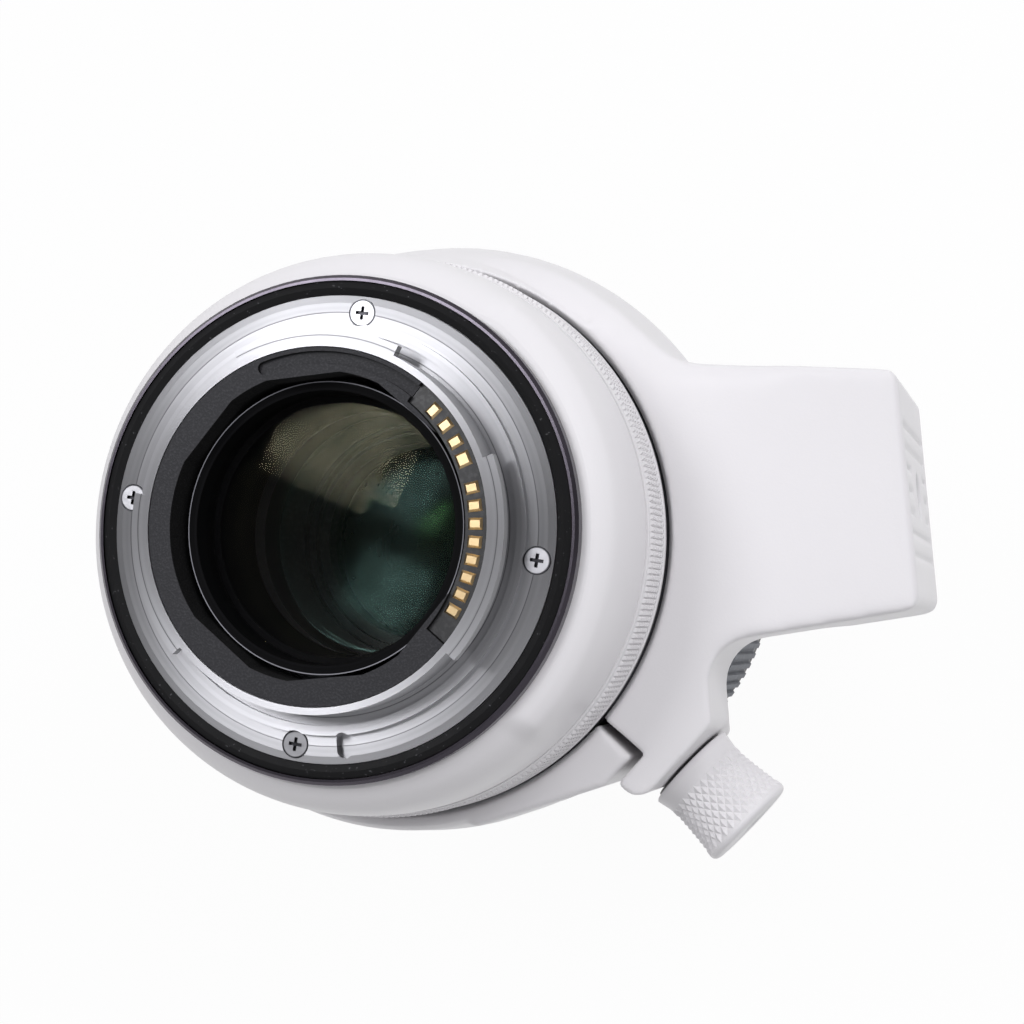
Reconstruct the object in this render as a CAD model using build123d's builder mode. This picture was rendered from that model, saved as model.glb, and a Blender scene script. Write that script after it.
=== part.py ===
from build123d import *
from math import atan2, cos, degrees, radians, sin, sqrt
import os

# Telephoto zoom lens with a rotating tripod collar, standing on its front rim.
# The optical axis is Z and the camera side is up. The origin is the centre of
# the flange face that seats on the camera, and the collar's foot points to +X.
# Lengths are millimetres, angles are degrees, depths are measured down from the flange face.

# Clearances shared by the moving pieces
running_gap = 0.3
seat_gap = 0.2
pin_gap = 0.05
ring_bore_gap = 0.1
cut_overrun = 1.0

# Bayonet mount
bayonet_bore_radius = 23.2
bayonet_wall = 0.9
bayonet_height = 5.6
lug_reach = 1.4
lug_thickness = 1.6
lug_start_angles = [58.7, -46.8, 164.6]
lug_sweep_angles = [52.6, 62.1, 50.8]
pilot_radius = 26.95
pilot_width = 1.25
pilot_height = 0.8
flange_width = 3.75
flange_radius = pilot_radius + flange_width
flange_rim_width = 1.0
flange_rim_drop = 0.35
flange_thickness = 1.8
mount_screw_inset = 2.2
mount_screw_circle_radius = flange_radius - mount_screw_inset
mount_screw_head_radius = 1.8
mount_screw_shank_radius = 1.0
mount_screw_sink_depth = 0.5
mount_screw_length = 5.0
mount_screw_count = 4
mount_screw_start_angle = 76.2
mount_screw_cross_width = 0.45
lock_slot_inset = 2.4
lock_slot_circle_radius = flange_radius - lock_slot_inset
lock_slot_length = 3.4
lock_slot_width = 2.1
lock_slot_depth = 1.2
lock_slot_angle = -90

# Contact block and light shroud inside the bayonet
shroud_gap = 0.1
shroud_sink = 0.15
shroud_radius = bayonet_bore_radius - shroud_gap
opening_round_wall = 3.0
opening_flat_wall = 3.65
opening_round_radius = shroud_radius - opening_round_wall
opening_flat_distance = shroud_radius - opening_flat_wall
opening_flat_angles = [45, 90, 135, 225, 270, 315]
recess_depth = 0.6
recess_edge = 0.5
recess_width = 1.7
recess_outer = shroud_radius - recess_edge
recess_inner = recess_outer - recess_width
recess_end_angle = 104.0
block_width = 3.0
block_inner = shroud_radius - block_width
block_start_angle = -45.5
block_sweep_angle = 92.0
block_sink = 0.7
block_depth = 4.2
contact_place = 1.4
contact_circle_radius = block_inner + contact_place
contact_length = 1.9
contact_width = 1.5
contact_wide_width = 1.9
contact_proud = 0.35
contact_buried = 2.5
contact_edge = 0.3
contact_pair_first_angle = 37.5
contact_pair_step_angle = 6.65
contact_row_first_angle = 7.5
contact_row_step_angle = 6.09
contact_pair_count = 4
contact_row_count = 8

# Weather seal and trim ring around the flange
seal_width = 1.8
seal_inner = flange_radius + ring_bore_gap
seal_outer = seal_inner + seal_width
seal_top = 0.15
seal_lip = 0.5
seal_depth = 1.8
trim_width = 0.8
trim_inner = seal_outer + shroud_gap
trim_outer = trim_inner + trim_width
trim_top = 0.3
trim_round = 0.45
trim_depth = 2.4

# Main barrel, the fixed tube that everything turns on; its rear part is thicker
barrel_radius = 38.6
barrel_wall = 1.8
barrel_fore_wall = 1.4
barrel_inner = barrel_radius - barrel_wall
barrel_fore_radius = barrel_inner + barrel_fore_wall
seat_step = 2.2
seat_wall = 1.9
seat_radius = barrel_radius - seat_step
seat_inner = seat_radius - seat_wall

# Rear barrel, a white shell between the mount and the control ring
rear_wall = 1.6
rear_rim_width = 0.5
rear_start_radius = trim_outer + rear_rim_width
rear_end_radius = barrel_radius
rear_shoulder_inset = 1.0
rear_shoulder_radius = rear_end_radius - rear_shoulder_inset
rear_shoulder_depth = 7.4
rear_crown_inset = 0.3
rear_crown_radius = rear_end_radius - rear_crown_inset
rear_crown_depth = 11.0
rear_end_depth = 17.8
pad_start_width = 1.4
pad_start_radius = rear_start_radius + pad_start_width
pad_start_depth = 2.6
pad_mid_inset = 1.1
pad_mid_radius = rear_end_radius - pad_mid_inset
pad_mid_depth = 4.9
pad_start_angle = -52.0
pad_sweep_angle = 101.0
pad_bury = 1.2

# Chassis that carries the mount
chassis_inner = 20.6
chassis_plate = 1.4
chassis_radius = rear_start_radius - rear_wall - ring_bore_gap
chassis_wall = 1.6
chassis_depth = 15.2
seat_flange_gap = 0.4
seat_flange_radius = rear_end_radius - rear_wall - seat_flange_gap
seat_start = chassis_depth + seat_gap

# Circuit board under the chassis plate
board_inner = 20.9
board_outer = 29.6
board_top = 3.7
board_thickness = 1.0
chip_width = 5.0
chip_height = 1.2
chip_angles = [20, 75, 140, 200, 260, 320]

# Control ring
control_length = 9.6
control_start = rear_end_depth + running_gap
control_end = control_start + control_length
control_bore_gap = 0.4
control_inner = seat_radius + control_bore_gap
control_rise = 0.2
control_radius = barrel_radius + control_rise
control_knurl_height = 0.5
control_knurl_inset = 0.9
control_knurl_start = control_start + control_knurl_inset
control_knurl_end = control_end - control_knurl_inset
seat_end = control_end + seat_gap

# Tripod collar: each wall is measured out from the bore
collar_gap = 0.5
collar_length = 29.8
collar_start = control_end + collar_gap
collar_end = collar_start + collar_length
collar_clearance = 0.7
collar_inner = barrel_radius + collar_clearance
collar_mouth_width = 0.8
collar_mouth_depth = 1.2
collar_rim_wall = 1.0
collar_cone_wall = 5.1
collar_cone_length = 12.8
collar_crown_wall = 7.2
collar_crown_length = 22.8
collar_front_wall = 5.9
collar_front_round = 2.0
collar_cone_depth = collar_start + collar_cone_length
collar_crown_depth = collar_start + collar_crown_length
lining_thickness = 0.35
lining_margin = 2.0
lining_end_angle = 3.0
seam_angle = -46.0
seam_gap_angle = 1.0

# Foot of the collar
foot_reach = 33.2
foot_bottom = collar_inner + foot_reach
foot_front_length = 39.8
foot_front_depth = collar_start + foot_front_length
foot_upper_half = 16.2
foot_lower_half = 16.5
foot_upper_flare = 4.7
foot_lower_flare = 2.4
foot_root_reach = 3.0
foot_root = collar_inner + foot_root_reach
foot_corner_round = 2.2
foot_upper_fillet = 7.0
foot_lower_fillet = 6.3
foot_edge_round = 1.2
foot_plate_thickness = 5.0
foot_front_reach = 10.7
foot_front_root = collar_inner + foot_front_reach
foot_front_round = 3.0
foot_draft_angle = 10.0
foot_draft_reach = 15.7
groove_count = 7
groove_pitch = 3.0
groove_width = 1.1
groove_depth = 0.6
groove_margin = 2.5
groove_break = 9.0
groove_short_count = 3
tripod_hole_radius = 3.175
tripod_hole_depth = 9.0
tripod_hole_place = 48.0
ring_sector_angle = 42.0

# Clamp of the collar: the lug of the main half overlaps the end of the jaw
clamp_angle = -48.0
clamp_offset = 3.2
clamp_depth = 43.0
lug_wall = 11.7
lug_face = collar_inner + lug_wall
lug_side_reach = 3.7
lug_side = collar_inner + lug_side_reach
lug_round = 2.4
lip_thickness = 4.0
lip_inner = lug_face - lip_thickness
lip_reach = 6.4
lip_round = 2.8
jaw_block_gap = 1.1
jaw_block_top = lip_inner - jaw_block_gap
jaw_block_tail_angle = -54.0
jaw_wall = 3.7
jaw_radius = collar_inner + jaw_wall
jaw_ramp_angle = -80.0
jaw_rear_wall = 2.7
jaw_rear_radius = collar_inner + jaw_rear_wall
jaw_front_round = 1.6
pocket_low_wall = 0.7
pocket_low = collar_inner + pocket_low_wall
pocket_height = 5.0
pocket_high = pocket_low + pocket_height
pocket_reach = 6.5
pocket_half_width = 7.4
tongue_rise = 2.6
tongue_thickness = 2.0
tongue_low = pocket_low + tongue_rise
tongue_high = tongue_low + tongue_thickness
tongue_reach = 5.6
tongue_half_width = 6.5
fork_half_width = 2.8
fork_end = 3.2
stud_radius = 2.5
stud_head_radius = 4.2
stud_head_thickness = 1.0
stud_head_gap = 0.4
head_recess_reach = 4.6
washer_radius = 6.0
washer_thickness = 0.35

# Knob of the clamp
knob_start = lug_face + washer_thickness + 2 * pin_gap
knob_length = 12.0
knob_end = knob_start + knob_length
knob_neck_radius = 6.9
knob_waist_radius = 6.4
knob_waist_place = 3.4
knob_flare_radius = 7.45
knob_flare_inset = 1.4
knob_end_radius = 6.5
knob_cap_thickness = 1.6
stud_tip_gap = 0.8
knob_bore_length = knob_length - knob_cap_thickness
stud_end = knob_start + knob_bore_length - stud_tip_gap

# Hinge of the jaw, on the far side of the collar
hinge_angle = 131.0
hinge_reach = 4.2
hinge_circle_radius = collar_inner + hinge_reach
hinge_knuckle_radius = 3.0
hinge_inset = 6.0
hinge_pin_radius = 1.5
hinge_knuckle_length = 9.6
hinge_relief = 0.5
hinge_web = 7.5

# Front tube, cam barrel and guide barrel, nested inside the main barrel
front_tube_wall = 1.2
front_tube_radius = barrel_inner - running_gap
front_tube_inner = front_tube_radius - front_tube_wall
cam_clearance = 1.3
cam_wall = 1.2
cam_outer = front_tube_inner - cam_clearance
cam_inner = cam_outer - cam_wall
guide_gap = 0.4
guide_wall = 1.2
guide_outer = cam_inner - guide_gap
guide_inner = guide_outer - guide_wall

# Zoom ring's skirt, cover and focus ring, nested outside the main barrel
zoom_inner = barrel_fore_radius + running_gap
skirt_wall = 1.1
skirt_radius = zoom_inner + skirt_wall
sleeve_wall = 0.8
sleeve_inner = skirt_radius + running_gap
sleeve_radius = sleeve_inner + sleeve_wall
cover_step = 0.9
cover_radius = sleeve_radius + cover_step
cover_gap = 0.4
cover_length = 20.2
cover_web = 1.2
cover_start = collar_end + cover_gap
cover_end = cover_start + cover_length
panel_angle = -90.0
panel_sweep_angle = 50.0
panel_thickness = 0.7
panel_margin = 2.0
switch_angles = [-16.5, -5.5, 5.5, 16.5]
switch_travel = 3.0
switch_length = 3.6
switch_width = 3.4
switch_proud = 0.5
switch_sink = 0.7
switch_root = cover_radius - switch_sink
switch_foot_thickness = 0.4
switch_foot_lip = 0.8
switch_round = 0.8
switch_edge = 0.2
switch_centre = (cover_start + cover_end) / 2

# Focus ring on the cover's sleeve, and the stop ring that holds it there
focus_length = 9.0
focus_start = cover_end + running_gap
focus_end = focus_start + focus_length
focus_inner = sleeve_radius + running_gap
focus_wall = 0.6
focus_body_radius = focus_inner + focus_wall
focus_grip_thickness = 0.8
focus_grip_radius = focus_body_radius + focus_grip_thickness
focus_rib_count = 120
focus_rib_height = 0.5
stop_thickness = 0.7
stop_start = focus_end + running_gap
stop_end = stop_start + stop_thickness

# Zoom ring and its rubber grip, with the nose ring that holds it
zoom_length = 22.6
zoom_start = stop_end + running_gap
zoom_end = zoom_start + zoom_length
zoom_body_wall = 2.8
zoom_body_radius = zoom_inner + zoom_body_wall
grip_thickness = 1.0
grip_radius = zoom_body_radius + grip_thickness
grip_rib_count = 134
grip_rib_height = 0.6
grip_rib_share = 0.45
grip_slope_share = 0.12
grip_margin = 0.6
skirt_start = cover_start + cover_web + cover_gap
zoom_turn_angle = 70.0
key_angle = 100.0
key_width = 4.0
key_inset = 0.4
key_length = 3.0
key_depth = skirt_start + key_inset
key_slot_margin_angle = 4.0
nose_length = 1.6
nose_start = zoom_end + running_gap
nose_end = nose_start + nose_length
nose_wall = 3.2
nose_radius = barrel_fore_radius + nose_wall
barrel_end = nose_end - seat_gap

# Front barrel, the tube that slides out when zooming
front_tube_gap = 1.1
front_tube_start = key_depth + key_length + front_tube_gap
front_rim_gap = 0.5
front_rim_length = 4.8
front_rim_start = nose_end + front_rim_gap
front_rim_end = front_rim_start + front_rim_length
front_rim_plate = 1.2
filter_thread_rise = 3.2
filter_thread_radius = front_tube_inner + filter_thread_rise
front_rim_wall = 2.5
front_rim_radius = filter_thread_radius + front_rim_wall
filter_thread_length = 2.6
bezel_step = 0.7
bezel_seat_radius = filter_thread_radius - bezel_step
bezel_thickness = 0.8
front_travel = 34.0
front_follower_place = 2.5
front_follower_depth = front_tube_start + front_follower_place
front_follower_angles = [40, 160, 280]
follower_radius = 1.5
follower_inner = guide_inner + seat_gap
slot_gap = 0.2
slot_land = 3.0

# Front glass and its cell
front_cell_length = 9.0
front_cell_wall = 1.7
front_cell_end = front_rim_start - seat_gap
front_cell_start = front_cell_end - front_cell_length
front_cell_radius = front_tube_inner - pin_gap
front_cell_bore_radius = front_cell_radius - front_cell_wall
front_glass_inset = 3.5
front_glass_edge = 3.0
front_glass_edge_start = front_cell_start + front_glass_inset
front_glass_edge_end = front_glass_edge_start + front_glass_edge
front_glass_rise = 2.6
front_glass_hollow = 1.5
cell_lip = 1.0
bezel_inner = front_cell_bore_radius - cell_lip

# Guide barrel and cam barrel along the axis
guide_start = seat_start + ring_bore_gap
guide_flange_radius = seat_inner - running_gap
guide_flange_inner = 24.5
guide_flange_thickness = 1.5
guide_end = front_follower_depth + front_travel + slot_land
cam_end = guide_end
cam_steps = 12

# Rear cell and rear glass
rear_cell_top = 1.9
rear_cell_radius = 19.1
rear_cell_wall = 1.2
rear_cell_bore_radius = rear_cell_radius - rear_cell_wall
rear_cell_end = chassis_depth
rear_cell_flange_gap = 0.5
rear_cell_flange_radius = chassis_radius - chassis_wall - rear_cell_flange_gap
rear_cell_flange_thickness = 1.6
rear_glass_start = 1.0
rear_glass_edge = 2.4
rear_glass_rise = 1.6
rear_glass_hollow = 0.8

# Focus group, its rods and its motor
focus_rod_inset = 3.2
focus_rod_circle_radius = guide_inner - focus_rod_inset
focus_rod_radius = 1.2
focus_rod_angles = [45, 225]
focus_group_start = 20.0
focus_group_length = 5.5
focus_group_end = focus_group_start + focus_group_length
focus_group_radius = 24.5
focus_group_bore_radius = 17.5
focus_ear_radius = 2.8
focus_glass_rise = 0.8
rod_gap = 0.08
motor_angle = 135.0
motor_inset = 3.0
motor_circle_radius = guide_inner - motor_inset
motor_width = 7.0
motor_thickness = 3.6

# Stabiliser: a fixed frame, a yoke that slides along X and a lens cell that slides along Y
frame_start = 34.0
frame_thickness = 1.8
frame_gap = 0.4
frame_radius = guide_inner - frame_gap
frame_bore_radius = 17.0
motor_start = guide_start + guide_flange_thickness + seat_gap
motor_end = frame_start - seat_gap
yoke_thickness = 1.4
yoke_radius = 22.0
yoke_bore_radius = 16.0
shift_gap = 0.3
shift_cell_radius = 19.0
shift_cell_bore_radius = 14.5
shift_cell_thickness = 5.0
shift_glass_hollow = 0.6
coil_width = 6.0
coil_core_width = 2.6
coil_round = 1.2
coil_core_round = 0.6
coil_thickness = 1.5
coil_inset = 4.4
coil_circle_radius = frame_radius - coil_inset
coil_angles = [30, 150, 270]

# Iris
iris_room = 5.2
iris_start = frame_start + frame_thickness + yoke_thickness + shift_cell_thickness + 2 * shift_gap + iris_room
iris_thickness = 4.0
iris_end = iris_start + iris_thickness
iris_bore_radius = 18.0
iris_wall = 1.0
iris_blade_count = 9
iris_blade_thickness = 0.12
iris_blade_step = 0.2
iris_pivot_inset = 5.6
iris_pivot_circle_radius = frame_radius - iris_pivot_inset
iris_blade_width = 4.6
iris_blade_sweep_angle = 58.0
iris_pivot_radius = 0.9

# Zoom group, behind the iris
zoom_group_room = 6.0
zoom_group_length = 8.0
zoom_group_gap = 0.5
zoom_group_start = iris_end + zoom_group_room
zoom_group_end = zoom_group_start + zoom_group_length
zoom_group_radius = guide_inner - zoom_group_gap
zoom_group_wall = 8.7
zoom_group_bore_radius = zoom_group_radius - zoom_group_wall
zoom_group_travel = 14.0
zoom_follower_depth = (zoom_group_start + zoom_group_end) / 2
zoom_follower_angles = [0, 120, 240]
zoom_follower_reach = cam_outer - ring_bore_gap
zoom_follower_seat = 3.0
zoom_glass_rise = 1.5
cam_lead = 1.0
cam_start = zoom_group_start - cam_lead


def place(radius, angle, height=0):
    """Point at a radius and an angle around the optical axis."""
    return (radius * cos(radians(angle)), radius * sin(radians(angle)), height)


def save(part, label):
    """Name a finished piece and write its STEP file."""
    part.label = label
    export_step(part, f"parts/{label}.step")


def tube(inner, outer, start, end):
    """Ring between two radii, from one depth to a greater one."""
    with BuildPart() as ring:
        with BuildSketch(Plane.XY.offset(-end)):
            Circle(outer)
            Circle(inner, mode=Mode.SUBTRACT)
        extrude(amount=end - start)
    return ring.part


def disc(radius, start, end):
    """Plain cylinder on the optical axis between two depths."""
    with BuildPart() as plug:
        with BuildSketch(Plane.XY.offset(-end)):
            Circle(radius)
        extrude(amount=end - start)
    return plug.part


def turned(outline, start_angle=0, sweep=360):
    """Closed outline of (radius, height) points, turned about the optical axis."""
    with BuildPart() as body:
        with BuildSketch(Plane.XZ.rotated((0, 0, start_angle))):
            with BuildLine():
                Polyline(*outline, close=True)
            make_face()
        revolve(axis=Axis.Z, revolution_arc=sweep)
    return body.part


def wedge(start_angle, sweep, reach, start, end):
    """Sector of a cylinder, used to cut or keep part of a ring."""
    outline = [(0, -end), (reach, -end), (reach, -start), (0, -start)]
    return turned(outline, start_angle, sweep)


def radial_plane(angle, radius, depth):
    """Plane whose normal points away from the axis and whose x runs up the lens."""
    return Plane(origin=place(radius, angle, -depth), x_dir=(0, 0, 1), z_dir=place(1, angle))


def radial_box(angle, inner, outer, width, start, end):
    """Bar that points away from the optical axis."""
    with BuildPart() as bar:
        with BuildSketch(radial_plane(angle, inner, (start + end) / 2)):
            Rectangle(end - start, width)
        extrude(amount=outer - inner)
    return bar.part


def radial_rod(angle, inner, outer, radius, depth):
    """Round bar that points away from the optical axis."""
    with BuildPart() as rod:
        with BuildSketch(radial_plane(angle, inner, depth)):
            Circle(radius)
        extrude(amount=outer - inner)
    return rod.part


def sphere_drop(radius, rise, distance):
    """How far a spherical face falls below its top at a distance from the axis."""
    ball = (radius ** 2 + rise ** 2) / (2 * rise)
    drop = abs(ball) - sqrt(ball ** 2 - distance ** 2)
    return drop if rise > 0 else -drop


def glass(radius, start, end, rear_rise, front_rise):
    """Lens element; a rise is how far a face bulges past its edge, negative if hollow."""
    half = radius / 2
    rear_top = rear_rise - start
    front_top = -end - front_rise
    with BuildPart() as element:
        with BuildSketch(Plane.XZ):
            with BuildLine():
                rear_middle = rear_top - sphere_drop(radius, rear_rise, half)
                front_middle = front_top + sphere_drop(radius, front_rise, half)
                ThreePointArc((0, rear_top), (half, rear_middle), (radius, -start))
                Line((radius, -start), (radius, -end))
                ThreePointArc((radius, -end), (half, front_middle), (0, front_top))
                Line((0, front_top), (0, rear_top))
            make_face()
        revolve(axis=Axis.Z)
    return element.part


os.makedirs("parts", exist_ok=True)

# Bayonet mount: flange, raised pilot ring and three lugs on a thin neck
neck_radius = bayonet_bore_radius + bayonet_wall
mount_outline = [
    (bayonet_bore_radius, -flange_thickness),
    (flange_radius, -flange_thickness),
    (flange_radius, -flange_rim_drop),
    (flange_radius - flange_rim_width, 0),
    (pilot_radius, 0),
    (pilot_radius, pilot_height),
    (pilot_radius - pilot_width, pilot_height),
    (pilot_radius - pilot_width, 0),
    (neck_radius, 0),
    (neck_radius, bayonet_height),
    (bayonet_bore_radius, bayonet_height),
]
lug_outline = [
    (bayonet_bore_radius, bayonet_height - lug_thickness),
    (neck_radius + lug_reach, bayonet_height - lug_thickness),
    (neck_radius + lug_reach, bayonet_height),
    (bayonet_bore_radius, bayonet_height),
]
mount_body = turned(mount_outline)
lugs = [turned(lug_outline, a, s) for a, s in zip(lug_start_angles, lug_sweep_angles)]
with BuildPart() as bayonet_mount:
    add(mount_body)
    add(lugs)
    with BuildSketch(Plane.XY.offset(-mount_screw_sink_depth)):
        with PolarLocations(mount_screw_circle_radius, mount_screw_count, mount_screw_start_angle):
            Circle(mount_screw_head_radius + pin_gap)
    extrude(amount=mount_screw_sink_depth + pilot_height + cut_overrun, mode=Mode.SUBTRACT)
    with BuildSketch(Plane.XY.offset(-flange_thickness)):
        with PolarLocations(mount_screw_circle_radius, mount_screw_count, mount_screw_start_angle):
            Circle(mount_screw_shank_radius + pin_gap)
    extrude(amount=flange_thickness, mode=Mode.SUBTRACT)
    with BuildSketch(Plane.XY.offset(-lock_slot_depth)):
        with PolarLocations(lock_slot_circle_radius, 1, lock_slot_angle):
            SlotOverall(lock_slot_length, lock_slot_width)
    extrude(amount=lock_slot_depth + pilot_height + cut_overrun, mode=Mode.SUBTRACT)
save(bayonet_mount.part, "bayonet_mount")

# Four cross-head screws through the flange
with BuildPart() as mount_screws:
    with BuildSketch(Plane.XY.offset(-mount_screw_sink_depth)):
        with PolarLocations(mount_screw_circle_radius, mount_screw_count, mount_screw_start_angle):
            Circle(mount_screw_head_radius)
    extrude(amount=mount_screw_sink_depth)
    with BuildSketch(Plane.XY.offset(-mount_screw_length)):
        with PolarLocations(mount_screw_circle_radius, mount_screw_count, mount_screw_start_angle):
            Circle(mount_screw_shank_radius)
    extrude(amount=mount_screw_length - mount_screw_sink_depth)
    with BuildSketch(Plane.XY):
        with PolarLocations(mount_screw_circle_radius, mount_screw_count, mount_screw_start_angle):
            Rectangle(mount_screw_head_radius, mount_screw_cross_width)
            Rectangle(mount_screw_cross_width, mount_screw_head_radius)
    extrude(amount=-mount_screw_sink_depth, mode=Mode.SUBTRACT)
save(mount_screws.part, "mount_screws")

# Light shroud: a dark frame that closes the bayonet down to the rear glass
shroud_top = bayonet_height - shroud_sink
block_top = shroud_top - block_sink
shroud_ring = tube(opening_round_radius / 2, shroud_radius, -shroud_top, flange_thickness)
recess = turned(
    [
        (recess_inner, shroud_top - recess_depth),
        (recess_outer, shroud_top - recess_depth),
        (recess_outer, shroud_top + cut_overrun),
        (recess_inner, shroud_top + cut_overrun),
    ],
    block_start_angle + block_sweep_angle / 2,
    recess_end_angle - block_start_angle - block_sweep_angle / 2,
)
block_room = turned(
    [
        (block_inner, block_top - block_depth),
        (shroud_radius + cut_overrun, block_top - block_depth),
        (shroud_radius + cut_overrun, shroud_top + cut_overrun),
        (block_inner, shroud_top + cut_overrun),
    ],
    block_start_angle,
    block_sweep_angle,
)
with BuildPart() as light_shroud:
    add(shroud_ring)
    with BuildSketch(Plane.XY.offset(-flange_thickness)):
        Circle(opening_round_radius)
        for angle in opening_flat_angles:
            with PolarLocations(opening_flat_distance + opening_round_radius / 2, 1, angle):
                Rectangle(opening_round_radius, 2 * opening_round_radius, mode=Mode.SUBTRACT)
    extrude(amount=flange_thickness + shroud_top, mode=Mode.SUBTRACT)
    add(recess, mode=Mode.SUBTRACT)
    with BuildSketch(Plane.XY.offset(shroud_top - recess_depth)):
        with PolarLocations((recess_inner + recess_outer) / 2, 1, recess_end_angle):
            Circle((recess_outer - recess_inner) / 2)
    extrude(amount=recess_depth + cut_overrun, mode=Mode.SUBTRACT)
    add(block_room, mode=Mode.SUBTRACT)
save(light_shroud.part, "light_shroud")

# Contact block: an arc of dark plastic that holds the gold contacts
block_outline = [
    (block_inner + pin_gap, block_top - block_depth),
    (shroud_radius, block_top - block_depth),
    (shroud_radius, block_top),
    (block_inner + pin_gap, block_top),
]
block_arc = turned(block_outline, block_start_angle + seat_gap, block_sweep_angle - 2 * seat_gap)
pair_angles = [contact_pair_first_angle - i * contact_pair_step_angle for i in range(contact_pair_count)]
row_angles = [contact_row_first_angle - i * contact_row_step_angle for i in range(contact_row_count)]
contact_angles = pair_angles + row_angles
contact_bottom = block_top - contact_buried
with BuildPart() as contact_pins:
    for number, angle in enumerate(contact_angles):
        wide = number == contact_pair_count - 1
        tip = Plane(origin=place(contact_circle_radius, angle, contact_bottom), x_dir=place(1, angle),
                    z_dir=(0, 0, 1))
        with BuildSketch(tip):
            Rectangle(contact_length, contact_wide_width if wide else contact_width)
    extrude(amount=contact_buried + contact_proud)
    chamfer(contact_pins.faces().group_by(Axis.Z)[-1].edges(), contact_edge)
with BuildPart() as contact_block:
    add(block_arc)
    add(contact_pins.part, mode=Mode.SUBTRACT)
save(contact_block.part, "contact_block")
save(contact_pins.part, "contact_pins")

# Rubber seal that squeezes onto the camera body
seal_outline = [
    (seal_inner, -seal_depth),
    (seal_outer, -seal_depth),
    (seal_outer, -seal_lip),
    ((seal_inner + seal_outer) / 2, -seal_top),
    (seal_inner, -seal_lip),
]
mount_seal = turned(seal_outline)
save(mount_seal, "mount_seal")

# Polished trim ring outside the seal
trim_outline = [
    (trim_inner, -trim_depth),
    (trim_outer, -trim_depth),
    (trim_outer, -trim_top - trim_round),
    (trim_outer - trim_round, -trim_top),
    (trim_inner, -trim_top),
]
save(turned(trim_outline), "mount_trim_ring")

# Rear barrel: white shell with a steep shoulder, fuller on the side of the foot
rear_outline = [
    (rear_start_radius - rear_wall, -trim_depth - seat_gap),
    (rear_start_radius, -trim_depth - seat_gap),
    (rear_shoulder_radius, -rear_shoulder_depth),
    (rear_crown_radius, -rear_crown_depth),
    (rear_end_radius, -rear_end_depth),
    (rear_end_radius - rear_wall, -rear_end_depth),
    (rear_crown_radius - rear_wall, -rear_crown_depth),
    (rear_shoulder_radius - rear_wall, -rear_shoulder_depth - rear_wall),
]
pad_outline = [
    (rear_start_radius - pad_bury, -trim_depth - seat_gap),
    (pad_start_radius, -pad_start_depth),
    (pad_mid_radius, -pad_mid_depth),
    (rear_crown_radius, -rear_shoulder_depth),
    (rear_end_radius, -rear_end_depth),
    (rear_crown_radius - pad_bury, -rear_crown_depth),
    (rear_shoulder_radius - pad_bury, -rear_shoulder_depth),
]
rear_shell = turned(rear_outline)
rear_pad = turned(pad_outline, pad_start_angle, pad_sweep_angle)
with BuildPart() as rear_barrel:
    add(rear_shell)
    add(rear_pad)
save(rear_barrel.part, "rear_barrel")

# Chassis: the metal cup that the mount is screwed to
chassis_outline = [
    (chassis_inner, -flange_thickness),
    (rear_start_radius - rear_wall - seat_gap, -flange_thickness - seat_gap),
    (chassis_radius, -flange_thickness - chassis_plate),
    (chassis_radius, -chassis_depth + chassis_plate),
    (seat_flange_radius, -chassis_depth + chassis_plate),
    (seat_flange_radius, -chassis_depth),
    (chassis_radius - chassis_wall, -chassis_depth),
    (chassis_radius - chassis_wall, -flange_thickness - chassis_plate),
    (chassis_inner, -flange_thickness - chassis_plate),
]
chassis_body = turned(chassis_outline)
with BuildPart() as mount_chassis:
    add(chassis_body)
    with BuildSketch(Plane.XY.offset(-mount_screw_length)):
        with PolarLocations(mount_screw_circle_radius, mount_screw_count, mount_screw_start_angle):
            Circle(mount_screw_shank_radius + pin_gap)
    extrude(amount=mount_screw_length, mode=Mode.SUBTRACT)
save(mount_chassis.part, "mount_chassis")

# Circuit board with its chips on the underside
board_ring = tube(board_inner, board_outer, board_top, board_top + board_thickness)
with BuildPart() as circuit_board:
    add(board_ring)
    with BuildSketch(Plane.XY.offset(-board_top - board_thickness)):
        for angle in chip_angles:
            with PolarLocations((board_inner + board_outer) / 2, 1, angle):
                Rectangle(chip_width, chip_width)
    extrude(amount=-chip_height)
    with BuildSketch(Plane.XY.offset(-mount_screw_length - cut_overrun)):
        with PolarLocations(mount_screw_circle_radius, mount_screw_count, mount_screw_start_angle):
            Circle(mount_screw_shank_radius + seat_gap)
    extrude(amount=mount_screw_length, mode=Mode.SUBTRACT)
save(circuit_board.part, "circuit_board")

# Main barrel with the seat of the control ring and the slot of the zoom key
web_depth = seat_end + barrel_fore_wall
barrel_outline = [
    (seat_inner, -seat_start),
    (seat_flange_radius, -seat_start),
    (seat_flange_radius, -rear_end_depth),
    (seat_radius, -rear_end_depth),
    (seat_radius, -seat_end),
    (barrel_radius, -seat_end),
    (barrel_radius, -collar_end - seat_gap),
    (barrel_fore_radius, -collar_end - seat_gap),
    (barrel_fore_radius, -barrel_end),
    (barrel_inner, -barrel_end),
    (barrel_inner, -web_depth),
    (seat_inner, -web_depth),
]
barrel_body = turned(barrel_outline)
key_slot_start = key_depth - running_gap - pin_gap
key_slot_end = key_depth + key_length + running_gap
key_slot = wedge(key_angle - key_slot_margin_angle, zoom_turn_angle + 2 * key_slot_margin_angle,
                 barrel_radius, key_slot_start, key_slot_end)
with BuildPart() as main_barrel:
    add(barrel_body)
    add(key_slot, mode=Mode.SUBTRACT)
save(main_barrel.part, "main_barrel")

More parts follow.
